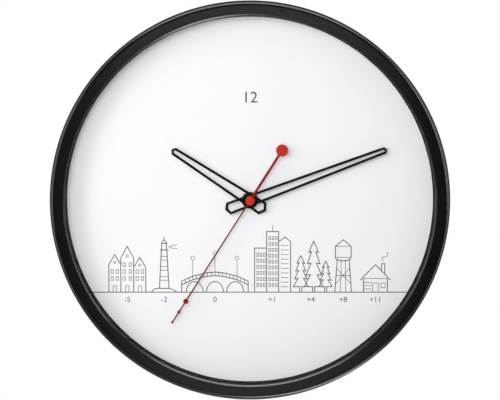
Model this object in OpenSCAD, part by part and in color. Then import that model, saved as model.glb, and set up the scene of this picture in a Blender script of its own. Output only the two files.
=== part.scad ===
// World time wall clock: a round moulded bezel with a clear lens, a flat dial,
// open outline hands and a quartz movement with its going train and motion work.
// The clock is drawn face up, about its centre, and then stood against the wall.

/* [Case] */
// Outer diameter of the bezel
clock_d = 430; // [400:5:500]
// Depth of the clock from the wall to the front of the bezel
clock_depth = 48; // [47:1:60]
// Width of the bezel's front face
bezel_face_w = 15; // [13:0.5:20]
// Radius of the bezel's outer front edge
bezel_outer_fillet = 6; // [3:0.5:7]
// Radius of the bezel's inner front edge
bezel_inner_fillet = 2; // [1:0.2:3]
// Wall thickness of the bezel moulding
bezel_wall = 2.2; // [1.8:0.2:3]
// Depth of the side wall that stands straight, behind the front face
side_straight_h = 17; // [12:1:20]
// How far the side wall draws in towards the wall
side_taper = 5.5; // [3:0.5:6]
// Wall thickness of the back case
back_wall = 3; // [2.5:0.5:3.5]
// Number of screws that hold the back case
screw_count = 6; // [4:1:10]
// Height of the hanging slot above the clock's centre
hang_height = 165; // [110:5:170]

/* [Lens and dial] */
// Thickness of the lens
lens_t = 2; // [1.5:0.25:3]
// Thickness of the dial
dial_t = 1.5; // [1:0.25:2]
// Space between the dial and the lens
dial_room = 15.2; // [14.2:0.2:18]
// Wall thickness of the spacer ring
spacer_wall = 4; // [3:0.5:5]

/* [Hands] */
// Length of the hour hand from its pivot to its point
hour_len = 101; // [80:1:110]
// Length of the hour hand's tail
hour_tail = 20.9; // [16:0.5:26]
// Width of the hour hand at its pivot
hour_w = 14.3; // [12:0.1:16]
// Width of the hour hand where its point begins
hour_tip_w = 8.6; // [6.5:0.1:10]
// Length of the minute hand from its pivot to its point
minute_len = 157.8; // [130:1:170]
// Length of the minute hand's tail
minute_tail = 28.6; // [20:0.5:36]
// Width of the minute hand at its pivot
minute_w = 12.9; // [10:0.1:15]
// Width of the minute hand where its point begins
minute_tip_w = 7.5; // [6:0.1:9]
// Width of the black outline of the hollow hands
outline_w = 2.15; // [1.6:0.05:2.4]
// Length of the second hand from its pivot to its point
second_len = 156.3; // [130:1:170]
// Distance from the pivot to the middle of the counterweight disc
second_tail = 64.3; // [50:0.5:80]
// Radius of the counterweight disc
weight_r = 6.5; // [4:0.5:9]
// Thickness of the hands
hand_t = 0.5; // [0.3:0.1:0.6]
// Angle of the hour hand, clockwise from twelve
hour_angle = 303; // [0:0.5:360]
// Angle of the minute hand, clockwise from twelve
minute_angle = 69.5; // [0:0.5:360]
// Angle of the second hand, clockwise from twelve
second_angle = 212.5; // [0:0.5:360]

/* [Movement] */
// Side of the square movement housing
movement_w = 56; // [56:0.5:60]
// Depth of the movement housing
movement_h = 16; // [16:0.25:18]
// Wall thickness of the movement housing
movement_wall = 1.3; // [1.2:0.1:1.6]
// Depth of the recess behind the movement
recess_h = 5; // [4.5:0.25:6]
// Radius of the threaded bushing
bushing_r = 4; // [3.8:0.1:4.5]
// Radius of the second arbor
arbor_r = 0.5; // [0.4:0.05:0.55]
// Radius of the minute tube
minute_tube_r = 1.6; // [1.5:0.05:1.65]
// Radius of the hour tube
hour_tube_r = 2.5; // [2.45:0.05:2.6]
// Diameter of the battery cell
cell_d = 14.5; // [13.5:0.1:14.5]

/* [Hidden] */
$fn = 96;

// Clearances: between seated pieces, in running bearings, and in pressed joints
seat_gap = 0.3;
run_gap = 0.05;
press_gap = 0.01;

// How far pieces of one solid sink into each other, and how far cuts pass a surface
sink = 0.1;
past = 1;

// Heights above the wall, from the back of the case to the front of the bezel
case_r = clock_d / 2;
movement_back_z = recess_h;
movement_front_z = movement_back_z + movement_h;
rubber_t = 0.5;
dial_back_z = movement_front_z + rubber_t;
dial_front_z = dial_back_z + dial_t;
lens_back_z = dial_front_z + dial_room;
lens_front_z = lens_back_z + lens_t;

// Bezel radii: the opening, the pocket that holds the lens, and the side wall
opening_r = case_r - bezel_face_w;
opening_draft = 0.7;
lens_seat_w = 3.5;
pocket_r = opening_r + lens_seat_w;
inset_r = pocket_r - seat_gap;
crown_h = 0.35;
skirt_z = 1;
taper_z = clock_depth - bezel_outer_fillet - side_straight_h;
skirt_r = case_r - side_taper;
boss_wall_h = 5.5;
channel_in = pocket_r + bezel_wall;
channel_out = case_r - bezel_wall;
rib_count = 24;
rib_t = 1.6;
rib_low_z = max(dial_back_z, taper_z) + 1;

// Case screws, in bosses between the dial's edge and the side wall
screw_r = 1.45;
screw_head_r = 3;
screw_head_h = 1.3;
screw_head_z = 0.2;
screw_len = 14;
boss_r = 3.2;
cross_len = 3.6;
cross_w = 0.7;
cross_depth = 0.7;
dial_lap = 2.9;
rim_outer_r = inset_r - dial_lap;
rim_wall = 1.8;
boss_gap = 0.4;
screw_circle_r = rim_outer_r + boss_r + boss_gap;
flange_r = skirt_r - bezel_wall - seat_gap;
back_rib_count = 12;
back_rib_h = 5;

// Keyhole in the back case
slot_w = 5;
entry_r = 5;
slot_drop = 13;
pocket_w = 17;
pocket_len = 30;
pocket_h = 10;
pocket_wall = 1.8;
pocket_corner_r = 2;

// Well in the back case, about the movement
well_gap = 1;
well_wall = 2;
well_h = 14;
well_w = movement_w + 2 * well_gap;
well_rib_gap = 6;
well_rib_r = movement_w / 2 * sqrt(2) + well_rib_gap;

// Gear teeth: share of the pitch that a tooth takes, its height and its root
tooth_share = 0.42;
tooth_add = 0.8;
tooth_ded = 1.15;
pressure_angle = 20;

// Tooth counts of the going train and the motion work
rotor_teeth = 10;
idler_teeth = 60;
idler_pinion_teeth = 12;
second_teeth = 60;
second_pinion_teeth = 8;
third_teeth = 60;
third_pinion_teeth = 8;
centre_teeth = 64;
cannon_teeth = 12;
work_teeth = 36;
work_pinion_teeth = 10;
hour_teeth = 40;
knob_teeth = 12;

// Gear modules, with each second pair on the same centre distance as its first
cannon_module = 0.4;
third_module = 0.32;
second_module = 0.3;
rotor_module = 0.25;
idler_dist = (second_teeth + idler_pinion_teeth) / 2 * second_module;
rotor_dist = (rotor_teeth + idler_teeth) / 2 * rotor_module;
third_dist = (second_pinion_teeth + third_teeth) / 2 * third_module;
centre_module = third_dist * 2 / (third_pinion_teeth + centre_teeth);
work_dist = (cannon_teeth + work_teeth) / 2 * cannon_module;
hour_module = work_dist * 2 / (work_pinion_teeth + hour_teeth);
knob_dist = (work_teeth + knob_teeth) / 2 * cannon_module;

// Directions from each axis to the next, seen from the front
idler_dir = 75;
rotor_dir = -10;
third_dir = 145;
work_dir = 195;
knob_dir = 190;
idler_at = polar(idler_dist, idler_dir);
rotor_at = idler_at + polar(rotor_dist, rotor_dir);
third_at = polar(third_dist, third_dir);
work_at = polar(work_dist, work_dir);
knob_at = work_at + polar(knob_dist, knob_dir);

// Turn of each wheel that brings its teeth into mesh at rest
idler_turn = meshed(0, second_teeth, idler_pinion_teeth, idler_dir);
rotor_turn = meshed(idler_turn, idler_teeth, rotor_teeth, rotor_dir);
third_turn = meshed(0, second_pinion_teeth, third_teeth, third_dir);
centre_turn = meshed(third_turn, third_pinion_teeth, centre_teeth, third_dir + 180);
work_turn = meshed(0, cannon_teeth, work_teeth, work_dir);
hour_turn = meshed(work_turn, work_pinion_teeth, hour_teeth, work_dir + 180);
knob_turn = meshed(work_turn, work_teeth, knob_teeth, knob_dir);

// Movement housing: the battery bay lies below the wheels, and sets its place
corner_r = 2.5;
cover_t = 1.2;
housing_inner = movement_w / 2 - movement_wall;
bay_gap = 1.1;
bay_wall = 1;
cell_room = 0.1;
centre_wheel_r = (centre_teeth / 2 + tooth_add) * centre_module;
bay_top_y = -centre_wheel_r - bay_gap - bay_wall;
cell_y = bay_top_y - cell_room - cell_d / 2;
bay_low_y = cell_y - cell_d / 2 - cell_room;
housing_y = bay_low_y + housing_inner;
cell_z = movement_back_z + 0.15 + cell_d / 2;
floor_z = movement_back_z + movement_wall;
cover_z = movement_front_z - cover_t;

// Contacts and the cell between them
contact_t = 0.4;
contact_w = 9;
contact_h = 10.5;
contact_reach = 0.95;
contact_room = 0.05;
contact_x = housing_inner - contact_t - cell_room;
cell_len = 2 * (contact_x - contact_reach);
cell_nub_r = 2.7;
cell_nub_h = 1;
cell_edge = 0.6;

// Heights of the wheel layers inside the movement
wheel_t = 0.8;
pinion_t = 1.3;
layer_step = 1.8;
mesh_drop = 0.2;
layer_1 = floor_z + 1.7;
layer_2 = layer_1 + layer_step;
layer_3 = layer_2 + layer_step;
layer_4 = layer_3 + layer_step;
layer_5 = layer_4 + layer_step + mesh_drop;
layer_6 = layer_5 + layer_step;
pinion_h = layer_step + wheel_t + mesh_drop;

// Hubs of the pierced wheels
wheel_hub_r = 1.6;
idler_hub_r = 2;

// Arbors, and the bearings that carry both of their ends
bearing_r = 1.4;
bearing_h = 1.2;
pivot_depth = 0.7;
end_play = 0.2;
arbor_low_z = floor_z - pivot_depth + end_play;
arbor_high_z = cover_z + pivot_depth - end_play;
work_post_r = 0.7;
work_post_z = layer_5 - 0.4;
centre_hub_r = 2.8;
centre_hub_h = wheel_t + 0.5;

// Motor: the stator plate, and the coil on its core beside the rotor
magnet_r = 2.6;
magnet_bore_r = 0.8;
magnet_h = 3;
magnet_z = layer_2 - 0.2;
stator_t = 1.2;
stator_z = magnet_z + 0.9;
stator_hole_r = magnet_r + 0.45;
pole_r = stator_hole_r + 1.2;
arm_w = 3.4;
coil_len = 26;
coil_r = 3.4;
coil_flange_w = 7.6;
coil_flange_t = 1;
coil_flange_in = 2.6;
coil_x = housing_inner - coil_flange_w / 2 - 0.9;
coil_low_y = bay_top_y + bay_wall + 1.8;
coil_high_y = coil_low_y + coil_len;
arm_x = coil_x - coil_flange_w / 2 - 0.5;
core_z = stator_z + stator_t;
core_t = 1.4;
core_w = 3.2;
coil_post_r = 1.5;

// Circuit board on its two posts, with the crystal and the chip
board_w = 19;
board_l = 8.6;
board_x = -housing_inner + 1.5;
board_y = housing_y + housing_inner - 0.5 - board_l;
board_z = floor_z + 1.6;
board_t = 1;
board_post_r = 1.3;
board_post_in = 2;
crystal_r = 1;
crystal_len = 6;
crystal_stem_r = 0.8;
crystal_stem_len = 0.6;
chip_in = 5;
chip_r = 2.4;
chip_top_r = 1.2;
chip_h = 1;

// Setting knob, on the back of the movement
knob_shaft_r = 1.5;
knob_head_r = 5;
knob_head_h = 3.2;
knob_head_z = movement_back_z - seat_gap - knob_head_h;
knob_flute_r = 0.35;
knob_flutes = 24;

// Stack on the shaft, from the dial to the lens
washer_r = 9;
washer_t = 0.6;
rubber_r = washer_r + 3;
nut_w = 12;
nut_h = 2.5;
thread_end = 0.8;
bushing_flange_w = 1.6;
bushing_flange_t = 0.6;
hand_step = 2.1;
collet_h = 1;
bushing_top_z = dial_front_z + washer_t + nut_h + thread_end;
hour_z = bushing_top_z + collet_h + 0.4;
minute_z = hour_z + hand_t + hand_step;
second_z = minute_z + hand_t + hand_step;

// Hubs, points and tails of the hands
hour_hub_r = 8.8;
hour_point_h = 3.1;
hour_tail_h = 4.9;
hour_collet_w = 2;
minute_hub_r = 8;
minute_point_h = 2.6;
minute_tail_h = 3.7;
minute_bush_w = 1.6;
point_insets = [1.15, 0.35];
tail_insets = [1.25, 0.55];
pointer_w = 1.4;
tail_w = 2.8;
dot_places = [0.826, 0.915, 1];
dot_radii = [2.8, 1.85, 1.4];
second_tube_w = 0.6;
second_tube_h = 1.5;
cap_r = 5;
cap_h = 1.4;
cap_edge = 0.4;
cap_lap = 0.6;

function polar(r, a) = [r * cos(a), r * sin(a)];

function involute(a) = tan(a) * 180 / PI - a;

// Half of the angle that a tooth takes at radius r
function half_tooth(r, pitch_r, base_r, module_size) =
    tooth_share * module_size * PI / pitch_r * 90 / PI
    + involute(acos(base_r / pitch_r))
    - involute(acos(base_r / max(r, base_r)));

// Outline of a gear with n teeth, one tooth centred on the X axis
function gear_points(n, m) =
    let (
        pitch_r = n * m / 2,
        base_r = pitch_r * cos(pressure_angle),
        radii = [pitch_r - tooth_ded * m, pitch_r, pitch_r + tooth_add * m],
        flank = [for (r = radii) [r, half_tooth(r, pitch_r, base_r, m)]]
    )
    [for (i = [0 : n - 1])
        for (k = [0 : 5])
            let (
                p = k < 3 ? flank[k] : flank[5 - k],
                side = k < 3 ? -1 : 1
            )
            polar(p[0], i * 360 / n + side * p[1])];

// Turn of gear b in mesh with gear a, where b lies in direction dir from a
function meshed(turn_a, teeth_a, teeth_b, dir) =
    dir + 180 - 360 / teeth_b * ((turn_a - dir) * teeth_a / 360 + 0.5);

function arc(centre, r, from, to, steps) =
    [for (i = [0 : steps]) centre + polar(r, from + (to - from) * i / steps)];

// From the clock's own frame, face up, to its place on the wall
module on_wall() {
    translate([0, 0, -hang_height]) rotate([90, 0, 0]) children();
}

module ring(outer_r, inner_r, h) {
    difference() {
        cylinder(r = outer_r, h = h);
        translate([0, 0, -past]) cylinder(r = inner_r, h = h + 2 * past);
    }
}

module rounded_box(w, l, h, r) {
    linear_extrude(height = h) rounded_square(w, l, r);
}

module rounded_square(w, l, r) {
    square([w - 2 * r, l], center = true);
    square([w, l - 2 * r], center = true);
    for (x = [-1, 1]) {
        for (y = [-1, 1]) {
            translate([x * (w / 2 - r), y * (l / 2 - r)]) circle(r = r);
        }
    }
}

module gear(n, m, h, turn = 0) {
    rotate([0, 0, turn]) linear_extrude(height = h) polygon(gear_points(n, m));
}

// Wheel with lightening holes between its hub and its rim
module pierced_wheel(n, m, h, turn, hub_r) {
    rim_r = n * m / 2 - tooth_ded * m;
    hole_r = (rim_r - hub_r) * 0.3;
    holes = 5;
    difference() {
        gear(n, m, h, turn);
        for (i = [0 : holes - 1]) {
            rotate([0, 0, turn + i * 360 / holes])
                translate([(rim_r + hub_r) / 2, 0, -past])
                    cylinder(r = hole_r, h = h + 2 * past);
        }
    }
}

module at(place, z = 0) {
    translate([place[0], place[1], z]) children();
}

module screw_places() {
    for (i = [0 : screw_count - 1]) {
        rotate([0, 0, 90 + (i + 0.5) * 360 / screw_count])
            translate([screw_circle_r, 0, 0]) children();
    }
}

// Half section of the bezel, radius along X and height along Y
module bezel_section() {
    outer_c = [case_r - bezel_outer_fillet, clock_depth - crown_h - bezel_outer_fillet];
    inner_c = [opening_r + bezel_inner_fillet,
        clock_depth - crown_h - bezel_inner_fillet];
    face_w = outer_c[0] - inner_c[0];
    steps = 8;
    crown = [for (i = [1 : steps - 1])
        [outer_c[0] - face_w * i / steps,
            clock_depth - crown_h * pow(2 * i / steps - 1, 2)]];
    polygon(concat(
        [[skirt_r, skirt_z], [case_r, taper_z]],
        arc(outer_c, bezel_outer_fillet, 0, 90, 8),
        crown,
        arc(inner_c, bezel_inner_fillet, 90, 180, 6),
        [
            [opening_r - opening_draft, lens_front_z],
            [pocket_r, lens_front_z],
            [pocket_r, dial_back_z - boss_wall_h],
            [channel_in, dial_back_z - boss_wall_h],
            [channel_in, clock_depth - 3 * bezel_wall],
            [channel_in + bezel_wall, clock_depth - 1.5 * bezel_wall],
            [channel_out - bezel_wall, clock_depth - 1.5 * bezel_wall],
            [channel_out, clock_depth - 3 * bezel_wall],
            [channel_out, taper_z],
            [skirt_r - bezel_wall, skirt_z]
        ]));
}

module bezel() {
    rib_root = bezel_wall / 4;
    color([0.03, 0.03, 0.03]) on_wall() difference() {
        union() {
            rotate_extrude($fn = 180) bezel_section();
            for (i = [0 : rib_count - 1]) {
                rotate([0, 0, (i + 0.5) * 360 / rib_count])
                    translate([channel_in - rib_root, -rib_t / 2, rib_low_z])
                        cube([channel_out - channel_in + 2 * rib_root, rib_t,
                            clock_depth - rib_low_z - bezel_wall]);
            }
            screw_places() translate([0, 0, back_wall])
                cylinder(r = boss_r, h = dial_back_z - seat_gap - back_wall);
        }
        screw_places() cylinder(r = screw_r + run_gap, h = back_wall + screw_len, $fn = 32);
    }
}

module lens() {
    color([0.8, 0.9, 0.95, 0.3]) on_wall() translate([0, 0, lens_back_z])
        cylinder(r = inset_r, h = lens_t, $fn = 180);
}

module spacer_ring() {
    color([0.04, 0.04, 0.04]) on_wall() translate([0, 0, dial_front_z])
        ring(inset_r, inset_r - spacer_wall, dial_room, $fn = 180);
}

module dial() {
    color([0.95, 0.95, 0.95]) on_wall() translate([0, 0, dial_back_z])
        ring(inset_r, bushing_r + run_gap, dial_t, $fn = 180);
}

// Keyhole outline: the round entry below, and the narrow slot above it
module keyhole_outline() {
    translate([0, hang_height]) circle(r = slot_w / 2);
    translate([-slot_w / 2, hang_height - slot_drop]) square([slot_w, slot_drop]);
    translate([0, hang_height - slot_drop]) circle(r = entry_r);
}

module keyhole_pocket() {
    translate([0, hang_height - slot_drop / 2, 0])
        rounded_box(pocket_w + 2 * pocket_wall, pocket_len + 2 * pocket_wall,
            back_wall + pocket_h + pocket_wall, pocket_corner_r + past);
}

module back_case() {
    rib_h = back_wall + back_rib_h;
    color([0.05, 0.05, 0.05]) on_wall() difference() {
        union() {
            cylinder(r = flange_r, h = back_wall, $fn = 180);
            ring(rim_outer_r, rim_outer_r - rim_wall, dial_back_z, $fn = 180);
            translate([0, housing_y, 0])
                rounded_box(well_w + 2 * well_wall, well_w + 2 * well_wall, well_h, corner_r);
            keyhole_pocket();
            for (i = [0 : back_rib_count - 1]) {
                rotate([0, 0, (i + 0.5) * 360 / back_rib_count])
                    translate([well_rib_r, -rib_t / 2, 0])
                        cube([rim_outer_r - rim_wall / 2 - well_rib_r, rib_t, rib_h]);
            }
            ring(well_rib_r + rib_t, well_rib_r, rib_h);
        }
        translate([0, housing_y, -past])
            rounded_box(well_w, well_w, well_h + 2 * past, corner_r - 0.5);
        translate([0, hang_height - slot_drop / 2, back_wall])
            rounded_box(pocket_w, pocket_len, pocket_h, pocket_corner_r);
        translate([0, 0, -past])
            linear_extrude(height = back_wall + 2 * past) keyhole_outline();
        screw_places() translate([0, 0, -past]) {
            cylinder(r = screw_r + seat_gap, h = back_wall + 2 * past, $fn = 32);
            cylinder(r = screw_head_r + seat_gap, h = past + screw_head_z + screw_head_h);
        }
    }
}

module case_screws() {
    color([0.6, 0.6, 0.62]) on_wall() screw_places() translate([0, 0, screw_head_z]) {
        difference() {
            cylinder(r = screw_head_r, h = screw_head_h);
            for (a = [0, 90]) {
                rotate([0, 0, a])
                    cube([cross_len, cross_w, 2 * cross_depth], center = true);
            }
        }
        translate([0, 0, screw_head_h]) cylinder(r = screw_r, h = screw_len - past, $fn = 32);
    }
}

module threaded_bushing() {
    color([0.75, 0.6, 0.3]) on_wall() difference() {
        union() {
            translate([0, 0, cover_z - bushing_flange_t])
                cylinder(r = bushing_r + bushing_flange_w, h = bushing_flange_t);
            translate([0, 0, cover_z]) cylinder(r = bushing_r, h = bushing_top_z - cover_z);
        }
        cylinder(r = hour_tube_r + run_gap, h = clock_depth, $fn = 48);
    }
}

module rubber_washer() {
    color([0.08, 0.08, 0.08]) on_wall() translate([0, 0, movement_front_z])
        ring(rubber_r, bushing_r + run_gap, rubber_t);
}

module brass_washer() {
    color([0.75, 0.58, 0.28]) on_wall() translate([0, 0, dial_front_z])
        ring(washer_r, bushing_r + run_gap, washer_t);
}

module hex_nut() {
    color([0.72, 0.56, 0.28]) on_wall() translate([0, 0, dial_front_z + washer_t])
        difference() {
            cylinder(d = nut_w / cos(30), h = nut_h, $fn = 6);
            translate([0, 0, -past])
                cylinder(r = bushing_r + run_gap, h = nut_h + 2 * past);
        }
}

// Bearing bush that carries the front end of an arbor
module high_bearing(place) {
    at(place, cover_z - bearing_h) cylinder(r = bearing_r, h = bearing_h + sink, $fn = 32);
}

module high_pivot(place) {
    at(place, cover_z - bearing_h - past)
        cylinder(r = arbor_r + run_gap, h = bearing_h + past + pivot_depth, $fn = 32);
}

module movement_front() {
    color([0.12, 0.12, 0.13]) on_wall() difference() {
        union() {
            translate([0, housing_y, cover_z])
                rounded_box(movement_w, movement_w, cover_t, corner_r);
            high_bearing(idler_at);
            high_bearing(rotor_at);
            high_bearing(third_at);
            high_bearing(knob_at);
            at(work_at, work_post_z)
                cylinder(r = work_post_r, h = cover_z - work_post_z + sink, $fn = 32);
        }
        translate([0, 0, cover_z - past])
            cylinder(r = bushing_r + run_gap, h = cover_t + 2 * past);
        high_pivot(idler_at);
        high_pivot(rotor_at);
        high_pivot(third_at);
        high_pivot(knob_at);
    }
}

module low_bearing(place) {
    at(place, floor_z - sink) cylinder(r = bearing_r, h = bearing_h + sink, $fn = 32);
}

module low_pivot(place) {
    at(place, floor_z - pivot_depth)
        cylinder(r = arbor_r + run_gap, h = pivot_depth + bearing_h + past, $fn = 32);
}

module movement_back() {
    inner = 2 * housing_inner;
    color([0.1, 0.1, 0.11]) on_wall() difference() {
        union() {
            difference() {
                translate([0, housing_y, movement_back_z])
                    rounded_box(movement_w, movement_w, movement_h - cover_t, corner_r);
                translate([0, housing_y, floor_z])
                    rounded_box(inner, inner, movement_h, corner_r - 1);
            }
            translate([-housing_inner - sink, bay_top_y, movement_back_z])
                cube([inner + 2 * sink, bay_wall, movement_h - cover_t]);
            low_bearing([0, 0]);
            low_bearing(idler_at);
            low_bearing(rotor_at);
            low_bearing(third_at);
            for (y = [coil_low_y, coil_high_y]) {
                at([coil_x, y], floor_z - sink)
                    cylinder(r = coil_post_r, h = stator_z - floor_z + sink, $fn = 32);
            }
            for (x = [board_x + board_post_in, board_x + board_w - board_post_in]) {
                at([x, board_y + board_l / 2], floor_z - sink)
                    cylinder(r = board_post_r, h = board_z - floor_z + sink, $fn = 32);
            }
        }
        translate([-housing_inner, bay_low_y, movement_back_z - past])
            cube([inner, bay_top_y - bay_low_y, movement_h]);
        low_pivot([0, 0]);
        low_pivot(idler_at);
        low_pivot(rotor_at);
        low_pivot(third_at);
        at(knob_at, movement_back_z - past)
            cylinder(r = knob_shaft_r + 2 * run_gap, h = movement_wall + 2 * past, $fn = 32);
    }
}

// Stator plate: a round pole piece about the rotor, and two arms to the coil's ends
module stator() {
    end = arm_w / 2;
    color([0.6, 0.6, 0.58]) on_wall() translate([0, 0, stator_z]) difference() {
        union() {
            at(rotor_at) cylinder(r = pole_r, h = stator_t);
            linear_extrude(height = stator_t) polygon([
                rotor_at + polar(stator_hole_r + 0.6, 105),
                [arm_x, coil_high_y + end],
                [coil_x + end, coil_high_y + end],
                [coil_x + end, coil_high_y - end],
                [arm_x, coil_high_y - end],
                rotor_at + polar(stator_hole_r + 0.6, 10)
            ]);
            linear_extrude(height = stator_t) polygon([
                rotor_at + polar(stator_hole_r + 0.6, -4),
                [arm_x, coil_low_y + end],
                [coil_x + end, coil_low_y + end],
                [coil_x + end, coil_low_y - end],
                [arm_x, coil_low_y - end],
                rotor_at + polar(stator_hole_r + 0.6, -75)
            ]);
        }
        at(rotor_at, -past) cylinder(r = stator_hole_r, h = stator_t + 2 * past);
    }
}

module coil_core() {
    end = arm_w / 2;
    color([0.65, 0.64, 0.6]) on_wall() {
        translate([coil_x - core_w / 2, coil_low_y - end, core_z])
            cube([core_w, coil_len + 2 * end, core_t]);
        for (y = [coil_low_y + coil_flange_in, coil_high_y - coil_flange_in - coil_flange_t]) {
            translate([coil_x - coil_flange_w / 2, y, core_z + core_t / 2 - coil_flange_w / 2])
                cube([coil_flange_w, coil_flange_t, coil_flange_w]);
        }
    }
}

module coil_winding() {
    end = coil_flange_in + coil_flange_t + sink;
    wound = coil_len - 2 * end;
    color([0.7, 0.35, 0.15]) on_wall()
        translate([coil_x, coil_high_y - end, core_z + core_t / 2])
            rotate([90, 0, 0]) difference() {
                cylinder(r = coil_r, h = wound);
                translate([0, 0, wound / 2])
                    cube([core_w + 2 * run_gap, core_t + 2 * run_gap, wound + 2 * past],
                        center = true);
            }
}

module circuit_board() {
    color([0.1, 0.3, 0.15]) on_wall()
        translate([board_x, board_y, board_z]) cube([board_w, board_l, board_t]);
}

module quartz_crystal() {
    color([0.7, 0.7, 0.72]) on_wall()
        translate([board_x + 2, board_y + 2, board_z + board_t + crystal_r + run_gap])
            rotate([0, 90, 0]) {
                cylinder(r = crystal_r, h = crystal_len, $fn = 32);
                translate([0, 0, crystal_len])
                    cylinder(r = crystal_stem_r, h = crystal_stem_len, $fn = 32);
            }
}

module clock_chip() {
    color([0.05, 0.05, 0.05]) on_wall()
        translate([board_x + board_w - chip_in, board_y + board_l / 2, board_z + board_t])
            cylinder(r1 = chip_r, r2 = chip_top_r, h = chip_h, $fn = 48);
}

// Contact plate of the battery bay, with a dimple towards the cell
module contact_plate(dimple_r1, dimple_r2) {
    translate([contact_x, cell_y - contact_w / 2, cell_z - contact_h / 2])
        cube([contact_t, contact_w, contact_h]);
    translate([contact_x, cell_y, cell_z]) rotate([0, -90, 0])
        cylinder(r1 = dimple_r1, r2 = dimple_r2, h = contact_reach - contact_room, $fn = 48);
}

module positive_contact() {
    color([0.75, 0.75, 0.77]) on_wall() contact_plate(3.4, 2.2);
}

module negative_contact() {
    color([0.75, 0.75, 0.77]) on_wall() mirror([1, 0, 0]) contact_plate(5, 3.4);
}

module battery() {
    edge = cell_edge;
    shoulder = cell_len - cell_nub_h;
    r = cell_d / 2;
    color([0.3, 0.32, 0.34]) on_wall() translate([-cell_len / 2, cell_y, cell_z])
        rotate([0, 90, 0]) rotate_extrude() polygon([
            [0, 0], [r - edge, 0], [r, edge], [r, shoulder - edge], [r - edge, shoulder],
            [cell_nub_r, shoulder], [cell_nub_r, cell_len], [0, cell_len]
        ]);
}

// Arbor between the two bearings of the movement
module arbor(place) {
    at(place, arbor_low_z) cylinder(r = arbor_r, h = arbor_high_z - arbor_low_z, $fn = 32);
}

module rotor_magnet() {
    color([0.25, 0.25, 0.27]) on_wall() at(rotor_at, magnet_z)
        ring(magnet_r, magnet_bore_r, magnet_h);
}

module rotor_pinion() {
    color([0.9, 0.9, 0.88]) on_wall() {
        arbor(rotor_at);
        at(rotor_at, layer_1 - mesh_drop) gear(rotor_teeth, rotor_module, pinion_t, rotor_turn);
        at(rotor_at, magnet_z) cylinder(r = magnet_bore_r - press_gap, h = magnet_h, $fn = 48);
    }
}

module idler_wheel() {
    color([0.92, 0.9, 0.84]) on_wall() {
        arbor(idler_at);
        at(idler_at, layer_1)
            pierced_wheel(idler_teeth, rotor_module, wheel_t, idler_turn, idler_hub_r);
        at(idler_at, layer_1)
            gear(idler_pinion_teeth, second_module, pinion_h, idler_turn);
    }
}

module second_wheel() {
    color([0.88, 0.88, 0.84]) on_wall() {
        translate([0, 0, arbor_low_z])
            cylinder(r = arbor_r, h = second_z + hand_t - arbor_low_z, $fn = 32);
        translate([0, 0, layer_2])
            pierced_wheel(second_teeth, second_module, wheel_t, 0, wheel_hub_r);
        translate([0, 0, layer_2]) gear(second_pinion_teeth, third_module, pinion_h);
    }
}

module third_wheel() {
    color([0.92, 0.9, 0.84]) on_wall() {
        arbor(third_at);
        at(third_at, layer_3)
            pierced_wheel(third_teeth, third_module, wheel_t, third_turn, wheel_hub_r);
        at(third_at, layer_3) gear(third_pinion_teeth, centre_module, pinion_h, third_turn);
    }
}

module centre_wheel() {
    color([0.78, 0.66, 0.38]) on_wall() difference() {
        union() {
            translate([0, 0, layer_4])
                pierced_wheel(centre_teeth, centre_module, wheel_t, centre_turn, centre_hub_r);
            translate([0, 0, layer_4]) cylinder(r = centre_hub_r, h = centre_hub_h, $fn = 48);
        }
        cylinder(r = minute_tube_r + run_gap, h = clock_depth, $fn = 48);
    }
}

module cannon_pinion() {
    low = layer_4 - seat_gap;
    color([0.8, 0.68, 0.4]) on_wall() difference() {
        union() {
            translate([0, 0, low])
                cylinder(r = minute_tube_r, h = minute_z + hand_t - low, $fn = 48);
            translate([0, 0, layer_5 - mesh_drop])
                gear(cannon_teeth, cannon_module, pinion_t);
        }
        cylinder(r = arbor_r + run_gap, h = clock_depth, $fn = 32);
    }
}

module minute_work_wheel() {
    color([0.92, 0.9, 0.84]) on_wall() difference() {
        union() {
            at(work_at, layer_5) gear(work_teeth, cannon_module, wheel_t, work_turn);
            at(work_at, layer_5)
                gear(work_pinion_teeth, hour_module, pinion_h, work_turn);
        }
        at(work_at) cylinder(r = work_post_r + run_gap, h = clock_depth, $fn = 32);
    }
}

module hour_wheel() {
    color([0.85, 0.83, 0.76]) on_wall() difference() {
        union() {
            translate([0, 0, layer_6])
                pierced_wheel(hour_teeth, hour_module, wheel_t, hour_turn, hour_tube_r);
            translate([0, 0, layer_6])
                cylinder(r = hour_tube_r, h = hour_z + hand_t - layer_6, $fn = 48);
        }
        cylinder(r = minute_tube_r + run_gap, h = clock_depth, $fn = 48);
    }
}

module setting_knob() {
    top_z = knob_head_z + knob_head_h;
    color([0.06, 0.06, 0.06]) on_wall() at(knob_at) {
        difference() {
            translate([0, 0, knob_head_z]) cylinder(r = knob_head_r, h = knob_head_h);
            for (i = [0 : knob_flutes - 1]) {
                rotate([0, 0, i * 360 / knob_flutes])
                    translate([knob_head_r, 0, knob_head_z - past])
                        cylinder(r = knob_flute_r, h = knob_head_h + 2 * past, $fn = 6);
            }
        }
        translate([0, 0, top_z - sink])
            cylinder(r = knob_shaft_r, h = layer_5 - top_z, $fn = 32);
        translate([0, 0, layer_5 - mesh_drop])
            gear(knob_teeth, cannon_module, pinion_t, knob_turn);
        translate([0, 0, layer_5]) cylinder(r = arbor_r, h = arbor_high_z - layer_5, $fn = 32);
    }
}

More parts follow.
